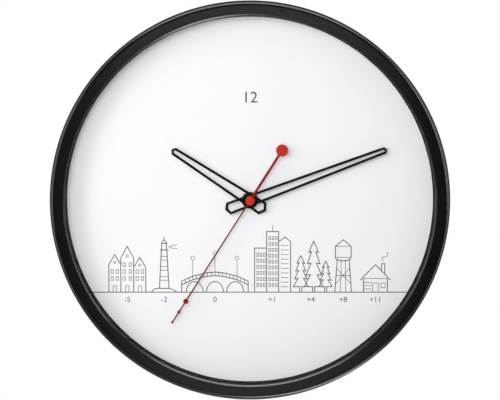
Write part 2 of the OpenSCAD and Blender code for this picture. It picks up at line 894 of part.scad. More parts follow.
// Outline of a hollow hand along +Y, drawn in by `inset` on every side
module hand_outline(len, tail, mid_w, tip_w, tip_h, tail_h, inset) {
    slope = (mid_w - tip_w) / 2 / (len - tip_h);
    tail_half = mid_w / 2 + slope * (tail - tail_h) - inset;
    tip_half = tip_w / 2 - inset;
    polygon([
        [0, len - inset * point_insets[0]],
        [-tip_half, len - tip_h - inset * point_insets[1]],
        [-tail_half, -tail + tail_h + inset * tail_insets[1]],
        [0, -tail + inset * tail_insets[0]],
        [tail_half, -tail + tail_h + inset * tail_insets[1]],
        [tip_half, len - tip_h - inset * point_insets[1]]
    ]);
}

module hollow_hand(len, tail, mid_w, tip_w, tip_h, tail_h, hub_r, bore_r) {
    linear_extrude(height = hand_t) difference() {
        union() {
            difference() {
                hand_outline(len, tail, mid_w, tip_w, tip_h, tail_h, 0);
                hand_outline(len, tail, mid_w, tip_w, tip_h, tail_h, outline_w);
            }
            circle(r = hub_r);
        }
        circle(r = bore_r, $fn = 48);
    }
}

module hour_hand() {
    color([0.03, 0.03, 0.03]) on_wall() translate([0, 0, hour_z]) rotate([0, 0, -hour_angle])
        hollow_hand(hour_len, hour_tail, hour_w, hour_tip_w, hour_point_h, hour_tail_h,
            hour_hub_r, hour_tube_r + press_gap);
}

module hour_hand_collet() {
    color([0.1, 0.1, 0.1]) on_wall() translate([0, 0, hour_z - collet_h])
        ring(hour_tube_r + hour_collet_w, hour_tube_r + press_gap, collet_h);
}

module minute_hand() {
    color([0.03, 0.03, 0.03]) on_wall() translate([0, 0, minute_z]) rotate([0, 0, -minute_angle])
        hollow_hand(minute_len, minute_tail, minute_w, minute_tip_w, minute_point_h,
            minute_tail_h, minute_hub_r, minute_tube_r + press_gap);
}

module minute_hand_bush() {
    color([0.1, 0.1, 0.1]) on_wall() translate([0, 0, minute_z - collet_h])
        ring(minute_tube_r + minute_bush_w, minute_tube_r + press_gap, collet_h);
}

module second_hand() {
    color([0.75, 0.18, 0.1]) on_wall() translate([0, 0, second_z]) rotate([0, 0, -second_angle])
        linear_extrude(height = hand_t) difference() {
            union() {
                translate([-pointer_w / 2, 0]) square([pointer_w, second_len]);
                translate([-tail_w / 2, -second_tail]) square([tail_w, second_tail]);
                translate([0, -second_tail]) circle(r = weight_r);
                for (i = [0 : 2]) {
                    translate([0, second_len * dot_places[i]]) circle(r = dot_radii[i], $fn = 48);
                }
                circle(r = cap_r - cap_lap);
            }
            circle(r = arbor_r + press_gap, $fn = 32);
        }
}

module second_hand_tube() {
    color([0.7, 0.7, 0.7]) on_wall() translate([0, 0, second_z - second_tube_h])
        ring(arbor_r + second_tube_w, arbor_r + press_gap, second_tube_h, $fn = 32);
}

module second_hand_cap() {
    edge = cap_edge;
    color([0.78, 0.2, 0.1]) on_wall() translate([0, 0, second_z + hand_t])
        rotate_extrude() polygon([
            [0, 0], [cap_r, 0], [cap_r, cap_h - edge], [cap_r - edge, cap_h], [0, cap_h]
        ]);
}

bezel();
lens();
spacer_ring();
dial();
back_case();
case_screws();
threaded_bushing();
rubber_washer();
brass_washer();
hex_nut();
movement_front();
movement_back();
stator();
coil_core();
coil_winding();
circuit_board();
quartz_crystal();
clock_chip();
positive_contact();
negative_contact();
battery();
rotor_magnet();
rotor_pinion();
idler_wheel();
second_wheel();
third_wheel();
centre_wheel();
cannon_pinion();
minute_work_wheel();
hour_wheel();
setting_knob();
hour_hand();
hour_hand_collet();
minute_hand();
minute_hand_bush();
second_hand();
second_hand_tube();
second_hand_cap();
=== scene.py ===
"""World time wall clock: finishes, dial print, turned shells, camera and studio light."""

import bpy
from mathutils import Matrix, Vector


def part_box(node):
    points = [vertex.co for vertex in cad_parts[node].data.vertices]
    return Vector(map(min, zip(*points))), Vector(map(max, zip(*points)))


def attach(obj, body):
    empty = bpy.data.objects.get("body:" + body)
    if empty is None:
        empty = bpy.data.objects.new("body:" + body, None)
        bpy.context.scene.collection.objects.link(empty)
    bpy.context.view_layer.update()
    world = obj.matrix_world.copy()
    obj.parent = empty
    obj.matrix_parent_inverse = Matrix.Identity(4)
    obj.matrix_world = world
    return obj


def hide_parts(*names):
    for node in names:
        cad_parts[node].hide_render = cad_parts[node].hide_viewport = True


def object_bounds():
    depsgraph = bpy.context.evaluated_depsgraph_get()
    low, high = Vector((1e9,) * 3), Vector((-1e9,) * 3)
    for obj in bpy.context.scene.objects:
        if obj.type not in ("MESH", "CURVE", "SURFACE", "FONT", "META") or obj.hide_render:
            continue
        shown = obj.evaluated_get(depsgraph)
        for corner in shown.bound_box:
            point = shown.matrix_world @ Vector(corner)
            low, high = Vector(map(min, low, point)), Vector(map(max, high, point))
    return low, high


bl_info = {
    "name": "World Time Wall Clock",
    "version": (1, 0, 0),
    "blender": (4, 5, 0),
    "location": "3D View > Sidebar > Wall Clock",
    "description": "Dresses a round wall clock with its finishes, dial print and studio",
    "category": "Object",
}

import math

import bmesh
import bpy
from bpy.props import FloatProperty, FloatVectorProperty, IntProperty, PointerProperty
from mathutils import Matrix, Vector

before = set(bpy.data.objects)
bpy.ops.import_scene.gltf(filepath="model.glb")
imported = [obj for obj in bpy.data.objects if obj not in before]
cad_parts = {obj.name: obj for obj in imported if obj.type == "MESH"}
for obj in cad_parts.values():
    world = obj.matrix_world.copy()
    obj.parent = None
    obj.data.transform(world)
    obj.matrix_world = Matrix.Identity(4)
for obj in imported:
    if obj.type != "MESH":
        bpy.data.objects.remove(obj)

MM = 0.001
CAD_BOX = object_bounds()
BEZEL_LOW, BEZEL_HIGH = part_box("bezel")
CASE_LOW, CASE_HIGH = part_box("back_case")
DIAL_LOW, DIAL_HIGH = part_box("dial")
LENS_LOW, LENS_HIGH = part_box("lens")
SPACER_LOW, SPACER_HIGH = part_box("spacer_ring")
CELL_LOW, CELL_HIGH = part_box("battery")
CAP_LOW, CAP_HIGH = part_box("second_hand_cap")
CENTRE_Z = (CASE_LOW[2] + CASE_HIGH[2]) / 2
CASE = "case"
MERGE_DISTANCE = 1e-6


def length_property(name, description, default):
    return FloatProperty(name=name, description=description, default=default, unit="LENGTH")


def colour_property(name, description, default):
    return FloatVectorProperty(name=name, description=description, default=default,
                               subtype="COLOR", size=3, min=0, max=1)


class ClockSizes(bpy.types.PropertyGroup):
    """Sizes of the shells, the hands and the print"""
    case_radius: length_property(
        "Case radius", "Outer radius of the bezel", 0.215)
    face_width: length_property(
        "Face width", "Width of the bezel's front face with its lip", 0.0165)
    outer_fillet: length_property(
        "Outer fillet", "Radius of the bezel's outer front edge", 0.006)
    lip_width: length_property(
        "Lip width", "Width of the sloped lip round the opening", 0.002)
    lip_fall: length_property(
        "Lip fall", "How far the lip falls towards the opening", 0.00154)
    face_fall: length_property(
        "Face fall", "How far the front face falls towards its outer edge", 0.0005)
    bezel_wall: length_property(
        "Bezel wall", "Wall thickness of the bezel moulding", 0.0022)
    straight_side: length_property(
        "Straight side", "Depth of the side wall before it draws in", 0.017)
    side_taper: length_property(
        "Side taper", "How far the side wall draws in", 0.0055)
    outline_width: length_property(
        "Outline width", "Width of the hollow hands' outline", 0.0027)
    hand_bevel: length_property(
        "Hand bevel", "Rounding of the hands' stamped edges", 0.00012)
    line_width: length_property(
        "Line width", "Width of the dial print's main lines", 0.00095)
    fine_width: length_property(
        "Fine line width", "Width of the dial print's fine lines", 0.0006)
    ground_drop: length_property(
        "Ground line", "Distance of the ground line below the pivot", 0.1002)
    segments: IntProperty(
        name="Segments", description="Segments round the turned shells",
        default=288, min=48, max=720)


class ClockColours(bpy.types.PropertyGroup):
    """Colours of the main finishes"""
    case_black: colour_property("Case black", "Black of the bezel", (0.0045, 0.0045, 0.005))
    dial_white: colour_property("Dial white", "White of the dial", (0.90, 0.90, 0.905))
    print_grey: colour_property("Print grey", "Grey of the dial print", (0.055, 0.055, 0.06))
    hand_black: colour_property("Hand black", "Black of the hands", (0.004, 0.004, 0.0045))
    hand_red: colour_property("Hand red", "Red of the second hand", (0.47, 0.026, 0.007))


class ClockStudio(bpy.types.PropertyGroup):
    """Camera and light"""
    elevation: FloatProperty(
        name="Camera elevation", description="Height of the view above the horizontal",
        default=math.radians(4.6), unit="ROTATION")
    distance: length_property(
        "Camera distance", "Distance from the camera to the clock", 2.5)
    frame_width: length_property(
        "Frame width", "Width of the picture at the clock's middle", 0.5407)
    ambient: FloatProperty(
        name="Ambient", description="Strength of the soft light from all round",
        default=0.36)


def sizes():
    return bpy.context.scene.clock_sizes


def colours():
    return bpy.context.scene.clock_colours


def studio():
    return bpy.context.scene.clock_studio


# Materials

class Shader:
    """A Principled material whose nodes are added one by one"""

    def __init__(self, name):
        self.material = bpy.data.materials.new(name)
        self.material.use_nodes = True
        self.tree = self.material.node_tree
        self.surface = self.tree.nodes["Principled BSDF"]
        self.output = self.tree.nodes["Material Output"]
        self.coords = self.add("ShaderNodeTexCoord")

    def add(self, kind, **values):
        node = self.tree.nodes.new(kind)
        for key, value in values.items():
            setattr(node, key, value)
        return node

    def link(self, source, target):
        self.tree.links.new(source, target)

    def mapping(self, scale=(1, 1, 1), location=(0, 0, 0)):
        """Object coordinates, scaled and moved"""
        node = self.add("ShaderNodeMapping")
        node.inputs["Scale"].default_value = scale
        node.inputs["Location"].default_value = location
        self.link(self.coords.outputs["Object"], node.inputs["Vector"])
        return node.outputs["Vector"]

    def noise(self, scale, detail=3.0, roughness=0.55, vector=None):
        node = self.add("ShaderNodeTexNoise")
        node.inputs["Scale"].default_value = scale
        node.inputs["Detail"].default_value = detail
        node.inputs["Roughness"].default_value = roughness
        self.link(vector or self.coords.outputs["Object"], node.inputs["Vector"])
        return node.outputs["Fac"]

    def ramp(self, source, stops):
        node = self.add("ShaderNodeValToRGB")
        band = node.color_ramp
        while len(band.elements) < len(stops):
            band.elements.new(0.5)
        for element, (place, colour) in zip(band.elements, stops):
            element.position = place
            element.color = (*colour, 1)
        self.link(source, node.inputs["Fac"])
        return node.outputs["Color"]

    def span(self, source, low, high, from_low=0.3, from_high=0.7):
        """Maps a value onto low to high, by default from a noise's usual range"""
        node = self.add("ShaderNodeMapRange")
        node.inputs["From Min"].default_value = from_low
        node.inputs["From Max"].default_value = from_high
        node.inputs["To Min"].default_value = low
        node.inputs["To Max"].default_value = high
        self.link(source, node.inputs["Value"])
        return node.outputs["Result"]

    def bump(self, height, strength, distance=0.0001):
        node = self.add("ShaderNodeBump")
        node.inputs["Strength"].default_value = strength
        node.inputs["Distance"].default_value = distance
        self.link(height, node.inputs["Height"])
        return node.outputs["Normal"]

    def calc(self, operation, first, second):
        node = self.add("ShaderNodeMath", operation=operation)
        self.link(first, node.inputs[0])
        self.link(second, node.inputs[1])
        return node.outputs[0]

    def give_way(self, factor, colour=(1, 1, 1)):
        """Lets the surface turn transparent where the factor is 1"""
        clear = self.add("ShaderNodeBsdfTransparent")
        clear.inputs["Color"].default_value = (*colour, 1)
        mix = self.add("ShaderNodeMixShader")
        self.link(factor, mix.inputs[0])
        self.link(self.surface.outputs[0], mix.inputs[1])
        self.link(clear.outputs[0], mix.inputs[2])
        self.link(mix.outputs[0], self.output.inputs["Surface"])

    def set(self, **values):
        """Links or sets the sockets of the surface, named with _ for each space"""
        for key, value in values.items():
            socket = self.surface.inputs[key.replace("_", " ")]
            if isinstance(value, bpy.types.NodeSocket):
                self.link(value, socket)
            else:
                socket.default_value = value
        return self


def shade(colour, factor):
    return tuple(min(1.0, c * factor) for c in colour)


def moulded(name, colour, rough, grain=900, depth=0.05, spread=0.12):
    """Moulded plastic: slight tone and gloss changes, and a fine grain"""
    s = Shader(name)
    dark, light = shade(colour, 1 - spread), shade(colour, 1 + spread)
    tone = s.ramp(s.noise(18, 2), [(0.35, dark), (0.65, light)])
    s.set(Base_Color=tone, Roughness=s.span(s.noise(60, 4), *rough),
          Normal=s.bump(s.noise(grain, 2), depth))
    return s


def metal(name, colour, rough, stretch):
    """Metal with fine tooling marks along one direction"""
    s = Shader(name)
    marks = s.noise(1, 3, vector=s.mapping(scale=stretch))
    tone = s.ramp(s.noise(120, 3), [(0.3, shade(colour, 0.86)), (0.7, shade(colour, 1.06))])
    s.set(Base_Color=tone, Metallic=1.0, Roughness=s.span(marks, *rough),
          Normal=s.bump(marks, 0.05, 0.00003))
    return s


def painted(name, colour, rough):
    """Sprayed paint on thin sheet, with a trace of orange peel"""
    s = Shader(name)
    tone = s.ramp(s.noise(35, 2), [(0.3, shade(colour, 0.92)), (0.7, shade(colour, 1.08))])
    s.set(Base_Color=tone, Roughness=s.span(s.noise(200, 3), *rough),
          Normal=s.bump(s.noise(1500, 2), 0.05, 0.00002), Specular_IOR_Level=0.2)
    return s


def case_black_material():
    s = moulded("satin_black_case", colours().case_black, (0.19, 0.24), 1400, 0.022)
    return s.set(IOR=1.5).material


def back_texture_material():
    """Spark textured black moulding of the back"""
    s = moulded("textured_black_back", (0.026, 0.026, 0.027), (0.45, 0.58))
    return s.set(Normal=s.bump(s.noise(1600, 4, 0.7), 0.5, 0.00015)).material


def ring_material():
    s = moulded("matt_black_ring", (0.008, 0.008, 0.009), (0.75, 0.85), 1200, 0.08)
    return s.set(Specular_IOR_Level=0.08).material


def lens_material():
    """Clear pane that lets the lamps through to the dial"""
    s = Shader("clear_pane")
    s.set(Base_Color=(1, 1, 1, 1), Roughness=s.span(s.noise(9, 2), 0.0, 0.02),
          Transmission_Weight=1.0, IOR=1.12)
    path = s.add("ShaderNodeLightPath")
    straight = path.outputs["Is Shadow Ray"]
    for kind in ("Is Diffuse Ray", "Is Glossy Ray"):
        straight = s.calc("MAXIMUM", straight, path.outputs[kind])
    s.give_way(straight, (0.988, 0.988, 0.992))
    return s.material


def dial_material():
    """Matt white coated card with a trace of fibre"""
    s = Shader("matt_white_dial")
    white = colours().dial_white
    fibre = s.noise(1, 4, 0.6, s.mapping(scale=(900, 900, 380)))
    tone = s.ramp(s.noise(7, 2), [(0.3, shade(white, 0.985)), (0.7, shade(white, 1.01))])
    s.set(Base_Color=tone, Roughness=s.span(fibre, 0.62, 0.74),
          Normal=s.bump(fibre, 0.06, 0.00005), Specular_IOR_Level=0.3)
    return s.material


def print_material():
    s = Shader("screen_printed_grey")
    ink = colours().print_grey
    tone = s.ramp(s.noise(1400, 3), [(0.3, shade(ink, 0.85)), (0.7, shade(ink, 1.2))])
    return s.set(Base_Color=tone, Roughness=0.55).material


def hand_black_material():
    return painted("satin_black_hands", colours().hand_black, (0.34, 0.42)).material


def hand_red_material():
    """Satin red, with painted shade on the narrow bar, drawn darker than its counterweight"""
    s = painted("satin_red_hand", colours().hand_red, (0.36, 0.44))
    # The narrow bar's darker red is painted shade, standing for the shade along a thin bar
    weight_tone, bar_painted_shade = 1.0, 0.5
    # Where the tone changes, along the hand from the pivot
    change_from, change_to = -0.059, -0.057
    angle = math.radians(HAND_ANGLES["second_hand"])
    along = s.add("ShaderNodeVectorMath", operation="DOT_PRODUCT")
    along.inputs[1].default_value = (math.sin(angle), 0, math.cos(angle))
    s.link(s.mapping(location=(0, 0, -CENTRE_Z)), along.inputs[0])
    depth = s.span(along.outputs["Value"], weight_tone, bar_painted_shade, change_from, change_to)
    painted_shade_tint = s.add("ShaderNodeVectorMath", operation="SCALE")
    base = s.surface.inputs["Base Color"]
    s.link(base.links[0].from_socket, painted_shade_tint.inputs[0])
    s.link(depth, painted_shade_tint.inputs["Scale"])
    s.link(painted_shade_tint.outputs[0], base)
    return s.material


def cap_material():
    s = moulded("red_cap", shade(colours().hand_red, 1.15), (0.28, 0.34), 2200, 0.02, 0.05)
    return s.set(Specular_IOR_Level=0.25).material


def winding_material():
    """Enamelled wire, one fine ridge for each turn"""
    s = Shader("enamelled_copper_wire")
    turns = s.add("ShaderNodeTexWave", bands_direction="Z")
    turns.inputs["Scale"].default_value = 1100
    turns.inputs["Distortion"].default_value = 0.6
    s.link(s.coords.outputs["Object"], turns.inputs["Vector"])
    wire = turns.outputs["Fac"]
    s.set(Base_Color=s.ramp(wire, [(0.1, (0.18, 0.05, 0.02)), (0.8, (0.62, 0.25, 0.09))]),
          Metallic=0.8, Roughness=s.span(wire, 0.45, 0.28), Normal=s.bump(wire, 0.6, 0.00008))
    return s.material


def board_material():
    """Green lacquered board with pale tracks under the lacquer"""
    s = Shader("lacquered_board")
    tracks = s.add("ShaderNodeTexBrick")
    tracks.inputs["Scale"].default_value = 260
    tracks.inputs["Mortar Size"].default_value = 0.05
    tracks.inputs["Color1"].default_value = (0.012, 0.075, 0.03, 1)
    tracks.inputs["Color2"].default_value = (0.016, 0.095, 0.04, 1)
    tracks.inputs["Mortar"].default_value = (0.05, 0.20, 0.09, 1)
    s.link(s.coords.outputs["Object"], tracks.inputs["Vector"])
    s.set(Base_Color=tracks.outputs["Color"], Roughness=s.span(s.noise(300), 0.22, 0.34),
          Normal=s.bump(tracks.outputs["Fac"], 0.3, 0.00004))
    return s.material


def wheel_material():
    s = moulded("natural_wheel_plastic", (0.72, 0.68, 0.58), (0.28, 0.4), 1500, 0.04, 0.04)
    return s.set(Subsurface_Weight=0.15, Subsurface_Scale=0.0006).material


def cell_material():
    """Shrunk film jacket: dark body, a pale band and bare steel at both ends"""
    s = Shader("cell_jacket")
    split = s.add("ShaderNodeSeparateXYZ")
    s.link(s.coords.outputs["Object"], split.inputs[0])
    along = s.span(split.outputs["X"], 0, 1, CELL_LOW[0], CELL_HIGH[0])
    steel, body, pale = (0.60, 0.60, 0.61), (0.016, 0.035, 0.075), (0.42, 0.44, 0.46)
    # Shares of the cell's length
    jacket_from, jacket_to = 0.012, 0.965
    pale_from, pale_to = 0.70, 0.73
    bands = s.ramp(along, [(0.0, steel), (jacket_from, body), (pale_from, pale),
                           (pale_to, body), (0.955, body), (jacket_to, steel)])
    bare = s.ramp(along, [(0.0, (1, 1, 1)), (jacket_from, (0, 0, 0)), (jacket_to, (1, 1, 1))])
    for node in s.tree.nodes:
        if node.type == "VALTORGB":
            node.color_ramp.interpolation = "CONSTANT"
    s.set(Base_Color=bands, Metallic=bare, Roughness=s.span(s.noise(150), 0.22, 0.34),
          Normal=s.bump(s.noise(90, 2), 0.04, 0.0002))
    return s.material


# Each plain metal: colour, roughness range and the stretch of its tooling marks
METALS = {
    "turned_brass": ((0.72, 0.50, 0.20), (0.24, 0.38), (900, 900, 900)),
    "zinc_plated_screw": ((0.52, 0.52, 0.54), (0.3, 0.42), (1500, 300, 1500)),
    "stamped_stator_steel": ((0.42, 0.42, 0.41), (0.4, 0.55), (300, 300, 2500)),
    "coil_core_steel": ((0.47, 0.46, 0.44), (0.42, 0.55), (2500, 300, 300)),
    "crystal_can": ((0.62, 0.62, 0.63), (0.18, 0.3), (300, 2500, 2500)),
    "nickel_contact": ((0.60, 0.58, 0.54), (0.22, 0.36), (1200, 200, 200)),
    "drawn_tube": ((0.55, 0.55, 0.55), (0.25, 0.35), (3000, 100, 3000)),
}

# Each plain moulding: colour, roughness range, scale of its grain and the grain's depth
MOULDINGS = {
    "resin_drop": ((0.010, 0.010, 0.010), (0.12, 0.22), 500, 0.03),
    "sintered_magnet": ((0.05, 0.05, 0.055), (0.5, 0.65), 2500, 0.3),
    "movement_black": ((0.014, 0.014, 0.015), (0.36, 0.48), 1300, 0.12),
    "knob_black": ((0.022, 0.022, 0.023), (0.34, 0.46), 1500, 0.1),
    "matt_rubber": ((0.012, 0.012, 0.012), (0.7, 0.82), 1800, 0.2),
}

# The finish of each carried-over part: a plain one by name, or a function that makes it
NODE_FINISHES = {
    "dial": dial_material, "back_case": back_texture_material,
    "threaded_bushing": "turned_brass", "brass_washer": "turned_brass",
    "hex_nut": "turned_brass", "rubber_washer": "matt_rubber",
    "movement_front": "movement_black", "movement_back": "movement_black",
    "stator": "stamped_stator_steel", "coil_core": "coil_core_steel",
    "coil_winding": winding_material, "circuit_board": board_material,
    "quartz_crystal": "crystal_can", "clock_chip": "resin_drop",
    "positive_contact": "nickel_contact", "negative_contact": "nickel_contact",
    "rotor_magnet": "sintered_magnet", "rotor_pinion": wheel_material,
    "idler_wheel": wheel_material, "second_wheel": wheel_material,
    "third_wheel": wheel_material, "centre_wheel": "turned_brass",
    "cannon_pinion": "turned_brass", "minute_work_wheel": wheel_material,
    "hour_wheel": wheel_material, "setting_knob": "knob_black",
    "hour_hand_collet": hand_black_material, "minute_hand_bush": hand_black_material,
    "second_hand_tube": "drawn_tube",
}


def plain_finish(name):
    if name in METALS:
        return metal(name, *METALS[name]).material
    return moulded(name, *MOULDINGS[name]).material


# Geometry helpers: the clock's own frame is x right, y up and z out from the wall

def on_wall():
    """From the clock's own frame to its place on the wall"""
    return Matrix.Translation((0, 0, CENTRE_Z)) @ Matrix.Rotation(math.radians(90), 4, "X")


def add_object(name, mesh, material):
    piece = bpy.data.objects.new(name, mesh)
    bpy.context.scene.collection.objects.link(piece)
    if material:
        piece.data.materials.clear()
        piece.data.materials.append(material)
    return piece


def smooth(mesh, angle=35):
    for face in mesh.polygons:
        face.use_smooth = True
    mesh.set_sharp_from_angle(angle=math.radians(angle))


def tidy_normals(mesh):
    work = bmesh.new()
    work.from_mesh(mesh)
    bmesh.ops.remove_doubles(work, verts=work.verts, dist=MERGE_DISTANCE)
    bmesh.ops.recalc_face_normals(work, faces=work.faces)
    work.to_mesh(mesh)
    work.free()


def evaluated_mesh(holder):
    """The plain mesh of an object as its modifiers or its curve settings make it"""
    bpy.context.view_layer.update()
    graph = bpy.context.evaluated_depsgraph_get()
    return bpy.data.meshes.new_from_object(holder.evaluated_get(graph))


def mesh_of_curve(curve, thickness, x=0, y=0):
    """A flat curve as a solid of this thickness that stands on its plane at x and y"""
    curve.extrude = thickness / 2
    holder = bpy.data.objects.new(curve.name, curve)
    bpy.context.scene.collection.objects.link(holder)
    mesh = evaluated_mesh(holder)
    bpy.data.objects.remove(holder)
    mesh.transform(Matrix.Translation((x, y, thickness / 2)))
    return mesh


def socket_id(tree, name):
    for item in tree.interface.items_tree:
        if item.name == name and item.in_out == "INPUT":
            return item.identifier
    raise KeyError(name)


def run_nodes(piece, tree, values):
    """Runs a node tree on a piece and returns its plain mesh"""
    modifier = piece.modifiers.new(tree.name, "NODES")
    modifier.node_group = tree
    for name, value in values.items():
        modifier[socket_id(tree, name)] = value
    mesh = evaluated_mesh(piece)
    piece.modifiers.remove(modifier)
    return mesh


def new_tree(name, inputs):
    """A geometry node tree with a Geometry input and output, and the named inputs"""
    tree = bpy.data.node_groups.new(name, "GeometryNodeTree")
    face = tree.interface
    face.new_socket("Geometry", in_out="INPUT", socket_type="NodeSocketGeometry")
    for label, kind in inputs:
        face.new_socket(label, in_out="INPUT", socket_type="NodeSocket" + kind)
    face.new_socket("Geometry", in_out="OUTPUT", socket_type="NodeSocketGeometry")
    enter = tree.nodes.new("NodeGroupInput")
    leave = tree.nodes.new("NodeGroupOutput")
    return tree, enter, leave


def finish_tree(tree, geometry, enter, leave):
    """Realize Instances and Set Material, at the end of a tree"""
    realize = tree.nodes.new("GeometryNodeRealizeInstances")
    paint = tree.nodes.new("GeometryNodeSetMaterial")
    tree.links.new(geometry, realize.inputs[0])
    tree.links.new(realize.outputs[0], paint.inputs["Geometry"])
    tree.links.new(enter.outputs["Material"], paint.inputs["Material"])
    tree.links.new(paint.outputs[0], leave.inputs[0])


def revolve_tree():
    """Sweeps a closed profile round a circle, as a turned or moulded ring is formed"""
    tree, enter, leave = new_tree("revolve_profile", [
        ("Segments", "Int"), ("Ring Radius", "Float"), ("Material", "Material")])
    add, link = tree.nodes.new, tree.links.new
    profile = add("GeometryNodeMeshToCurve")
    circle = add("GeometryNodeCurvePrimitiveCircle")
    sweep = add("GeometryNodeCurveToMesh")
    merge = add("GeometryNodeMergeByDistance")
    merge.inputs["Distance"].default_value = MERGE_DISTANCE
    link(enter.outputs["Geometry"], profile.inputs[0])
    link(enter.outputs["Segments"], circle.inputs["Resolution"])
    link(enter.outputs["Ring Radius"], circle.inputs["Radius"])
    link(circle.outputs[0], sweep.inputs["Curve"])
    link(profile.outputs[0], sweep.inputs["Profile Curve"])
    link(sweep.outputs[0], merge.inputs[0])
    finish_tree(tree, merge.outputs[0], enter, leave)
    return tree


def profile_mesh(points):
    mesh = bpy.data.meshes.new("profile")
    count = len(points)
    edges = [(i, (i + 1) % count) for i in range(count)]
    mesh.from_pydata([(x, y, 0) for x, y in points], edges, [])
    return mesh


def turned(name, points, material, place=None, segments=None, angle=35):
    """A ring or disc from a closed profile of (radius, height) points"""
    ring_radius = max(r for r, h in points)
    carrier = add_object(name + "_profile", profile_mesh(
        [(r - ring_radius, -h) for r, h in points]), None)
    tree = bpy.data.node_groups.get("revolve_profile") or revolve_tree()
    mesh = run_nodes(carrier, tree, {
        "Segments": segments or sizes().segments,
        "Ring Radius": ring_radius, "Material": material})
    bpy.data.objects.remove(carrier)
    mesh.transform(place or on_wall())
    tidy_normals(mesh)
    smooth(mesh, angle)
    return add_object(name, mesh, material)


def arc(centre_x, centre_y, radius, start, end, steps):
    points = []
    for i in range(steps + 1):
        turn = math.radians(start + (end - start) * i / steps)
        points.append((centre_x + radius * math.cos(turn), centre_y + radius * math.sin(turn)))
    return points


def rounded(before, corner, after, radius, steps=6):
    """The arc that rounds a convex corner of a profile"""
    a = (Vector(before) - Vector(corner)).normalized()
    b = (Vector(after) - Vector(corner)).normalized()
    half = a.angle(b) / 2
    centre = Vector(corner) + (a + b).normalized() * radius / math.sin(half)
    reach = radius / math.tan(half)
    first, last = Vector(corner) + a * reach - centre, Vector(corner) + b * reach - centre
    points = []
    for i in range(steps + 1):
        spoke = first.lerp(last, i / steps).normalized() * radius
        points.append(tuple(centre + spoke))
    return points


def height(y):
    """Height above the wall of a place in the frame"""
    return -y


# Shells

def bezel_points():
    """Closed profile of the hollow moulding, from its back edge over the front to the inside"""
    s = sizes()
    front, back = height(BEZEL_LOW[1]), height(BEZEL_HIGH[1])
    seat, dial_back = height(LENS_LOW[1]), height(DIAL_HIGH[1])
    lens_play, seat_draft, collar_reach = 0.0003, 0.0001, 0.0055
    lip_rounding, brink_rounding = 0.0007, 0.0006
    opening = s.case_radius - s.face_width
    straight = front - s.outer_fillet - s.straight_side
    skirt = s.case_radius - s.side_taper
    lip = (opening + s.lip_width, front)
    brink = (opening, front - s.lip_fall)
    seat_edge = (opening - seat_draft, seat)
    fillet_x = s.case_radius - s.outer_fillet
    fillet_y = front - s.face_fall - s.outer_fillet
    tilt = math.degrees(math.atan2(s.face_fall, fillet_x - lip[0]))
    fillet = arc(fillet_x, fillet_y, s.outer_fillet, 0, 90 - tilt, 20)
    pocket = LENS_HIGH[0] + lens_play
    collar, collar_end = pocket + s.bezel_wall, dial_back - collar_reach
    wall = s.case_radius - s.bezel_wall
    ceiling, shoulder = front - 1.5 * s.bezel_wall, front - 3 * s.bezel_wall
    return (
        [(skirt, back), (s.case_radius, straight)] + fillet
        + rounded(fillet[-1], lip, brink, lip_rounding)
        + rounded(lip, brink, seat_edge, brink_rounding)
        + [seat_edge, (pocket, seat), (pocket, collar_end), (collar, collar_end),
           (collar, shoulder), (collar + s.bezel_wall, ceiling), (wall - s.bezel_wall, ceiling),
           (wall, shoulder), (wall, straight), (skirt - s.bezel_wall, back)])


def make_bezel():
    """Bezel shell, matt on the short wall between its lip and the lens"""
    piece = turned("bezel_shell", bezel_points(), case_black_material(), angle=24)
    piece.data.materials.append(ring_material())
    opening = sizes().case_radius - sizes().face_width
    lens_reach = LENS_LOW[1] + 0.001
    for face in piece.data.polygons:
        around = Vector((face.center.x, face.center.z - CENTRE_Z)).length
        upright = abs(face.normal.y) < 0.3
        if upright and around < opening and face.center.y < lens_reach:
            face.material_index = 1
    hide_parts("bezel")
    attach(piece, CASE)


def make_lens():
    """Clear disc with a fine bevel on both edges"""
    radius, edge = LENS_HIGH[0], 0.0003
    low, high = height(LENS_HIGH[1]), height(LENS_LOW[1])
    points = [(0, low), (radius - edge, low), (radius, low + edge), (radius, high - edge),
              (radius - edge, high), (0, high)]
    piece = turned("lens_pane", points, lens_material())
    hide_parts("lens")
    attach(piece, CASE)


def make_spacer():
    """Ring between lens and dial that narrows towards the dial"""
    outer = SPACER_HIGH[0]
    low, high = height(SPACER_HIGH[1]), height(SPACER_LOW[1])
    dial_wall, lens_wall, edge = 0.0055, 0.0044, 0.0004
    mouth = outer - lens_wall
    points = [(outer - dial_wall, low), (outer, low), (outer, high), (mouth + edge, high),
              (mouth, high - edge)]
    piece = turned("spacer_band", points, ring_material())
    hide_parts("spacer_ring")
    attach(piece, CASE)


# Hands

# Degrees clockwise from twelve, at rest
HAND_ANGLES = {"hour_hand": 303.0, "minute_hand": 69.5, "second_hand": 212.5}

# Outlines of the hollow hands in millimetres: how far they reach from the pivot, their
# widths at the pivot and at the tip, and how long the tip and the tail narrow to a point
HOUR_OUTLINE = {"length": 101, "tail": 20.9, "mid_w": 14.3, "tip_w": 8.6, "tip_h": 3.1,
                "tail_h": 4.9}
MINUTE_OUTLINE = {"length": 157.8, "tail": 28.6, "mid_w": 12.9, "tip_w": 7.5, "tip_h": 2.6,
                  "tail_h": 3.7}


def hand_place(node):
    """From a hand's own frame, pointing up at twelve, to its place at rest"""
    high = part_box(node)[1]
    turn = Matrix.Rotation(-math.radians(HAND_ANGLES[node]), 4, "Z")
    return on_wall() @ Matrix.Translation((0, 0, height(high[1]))) @ turn


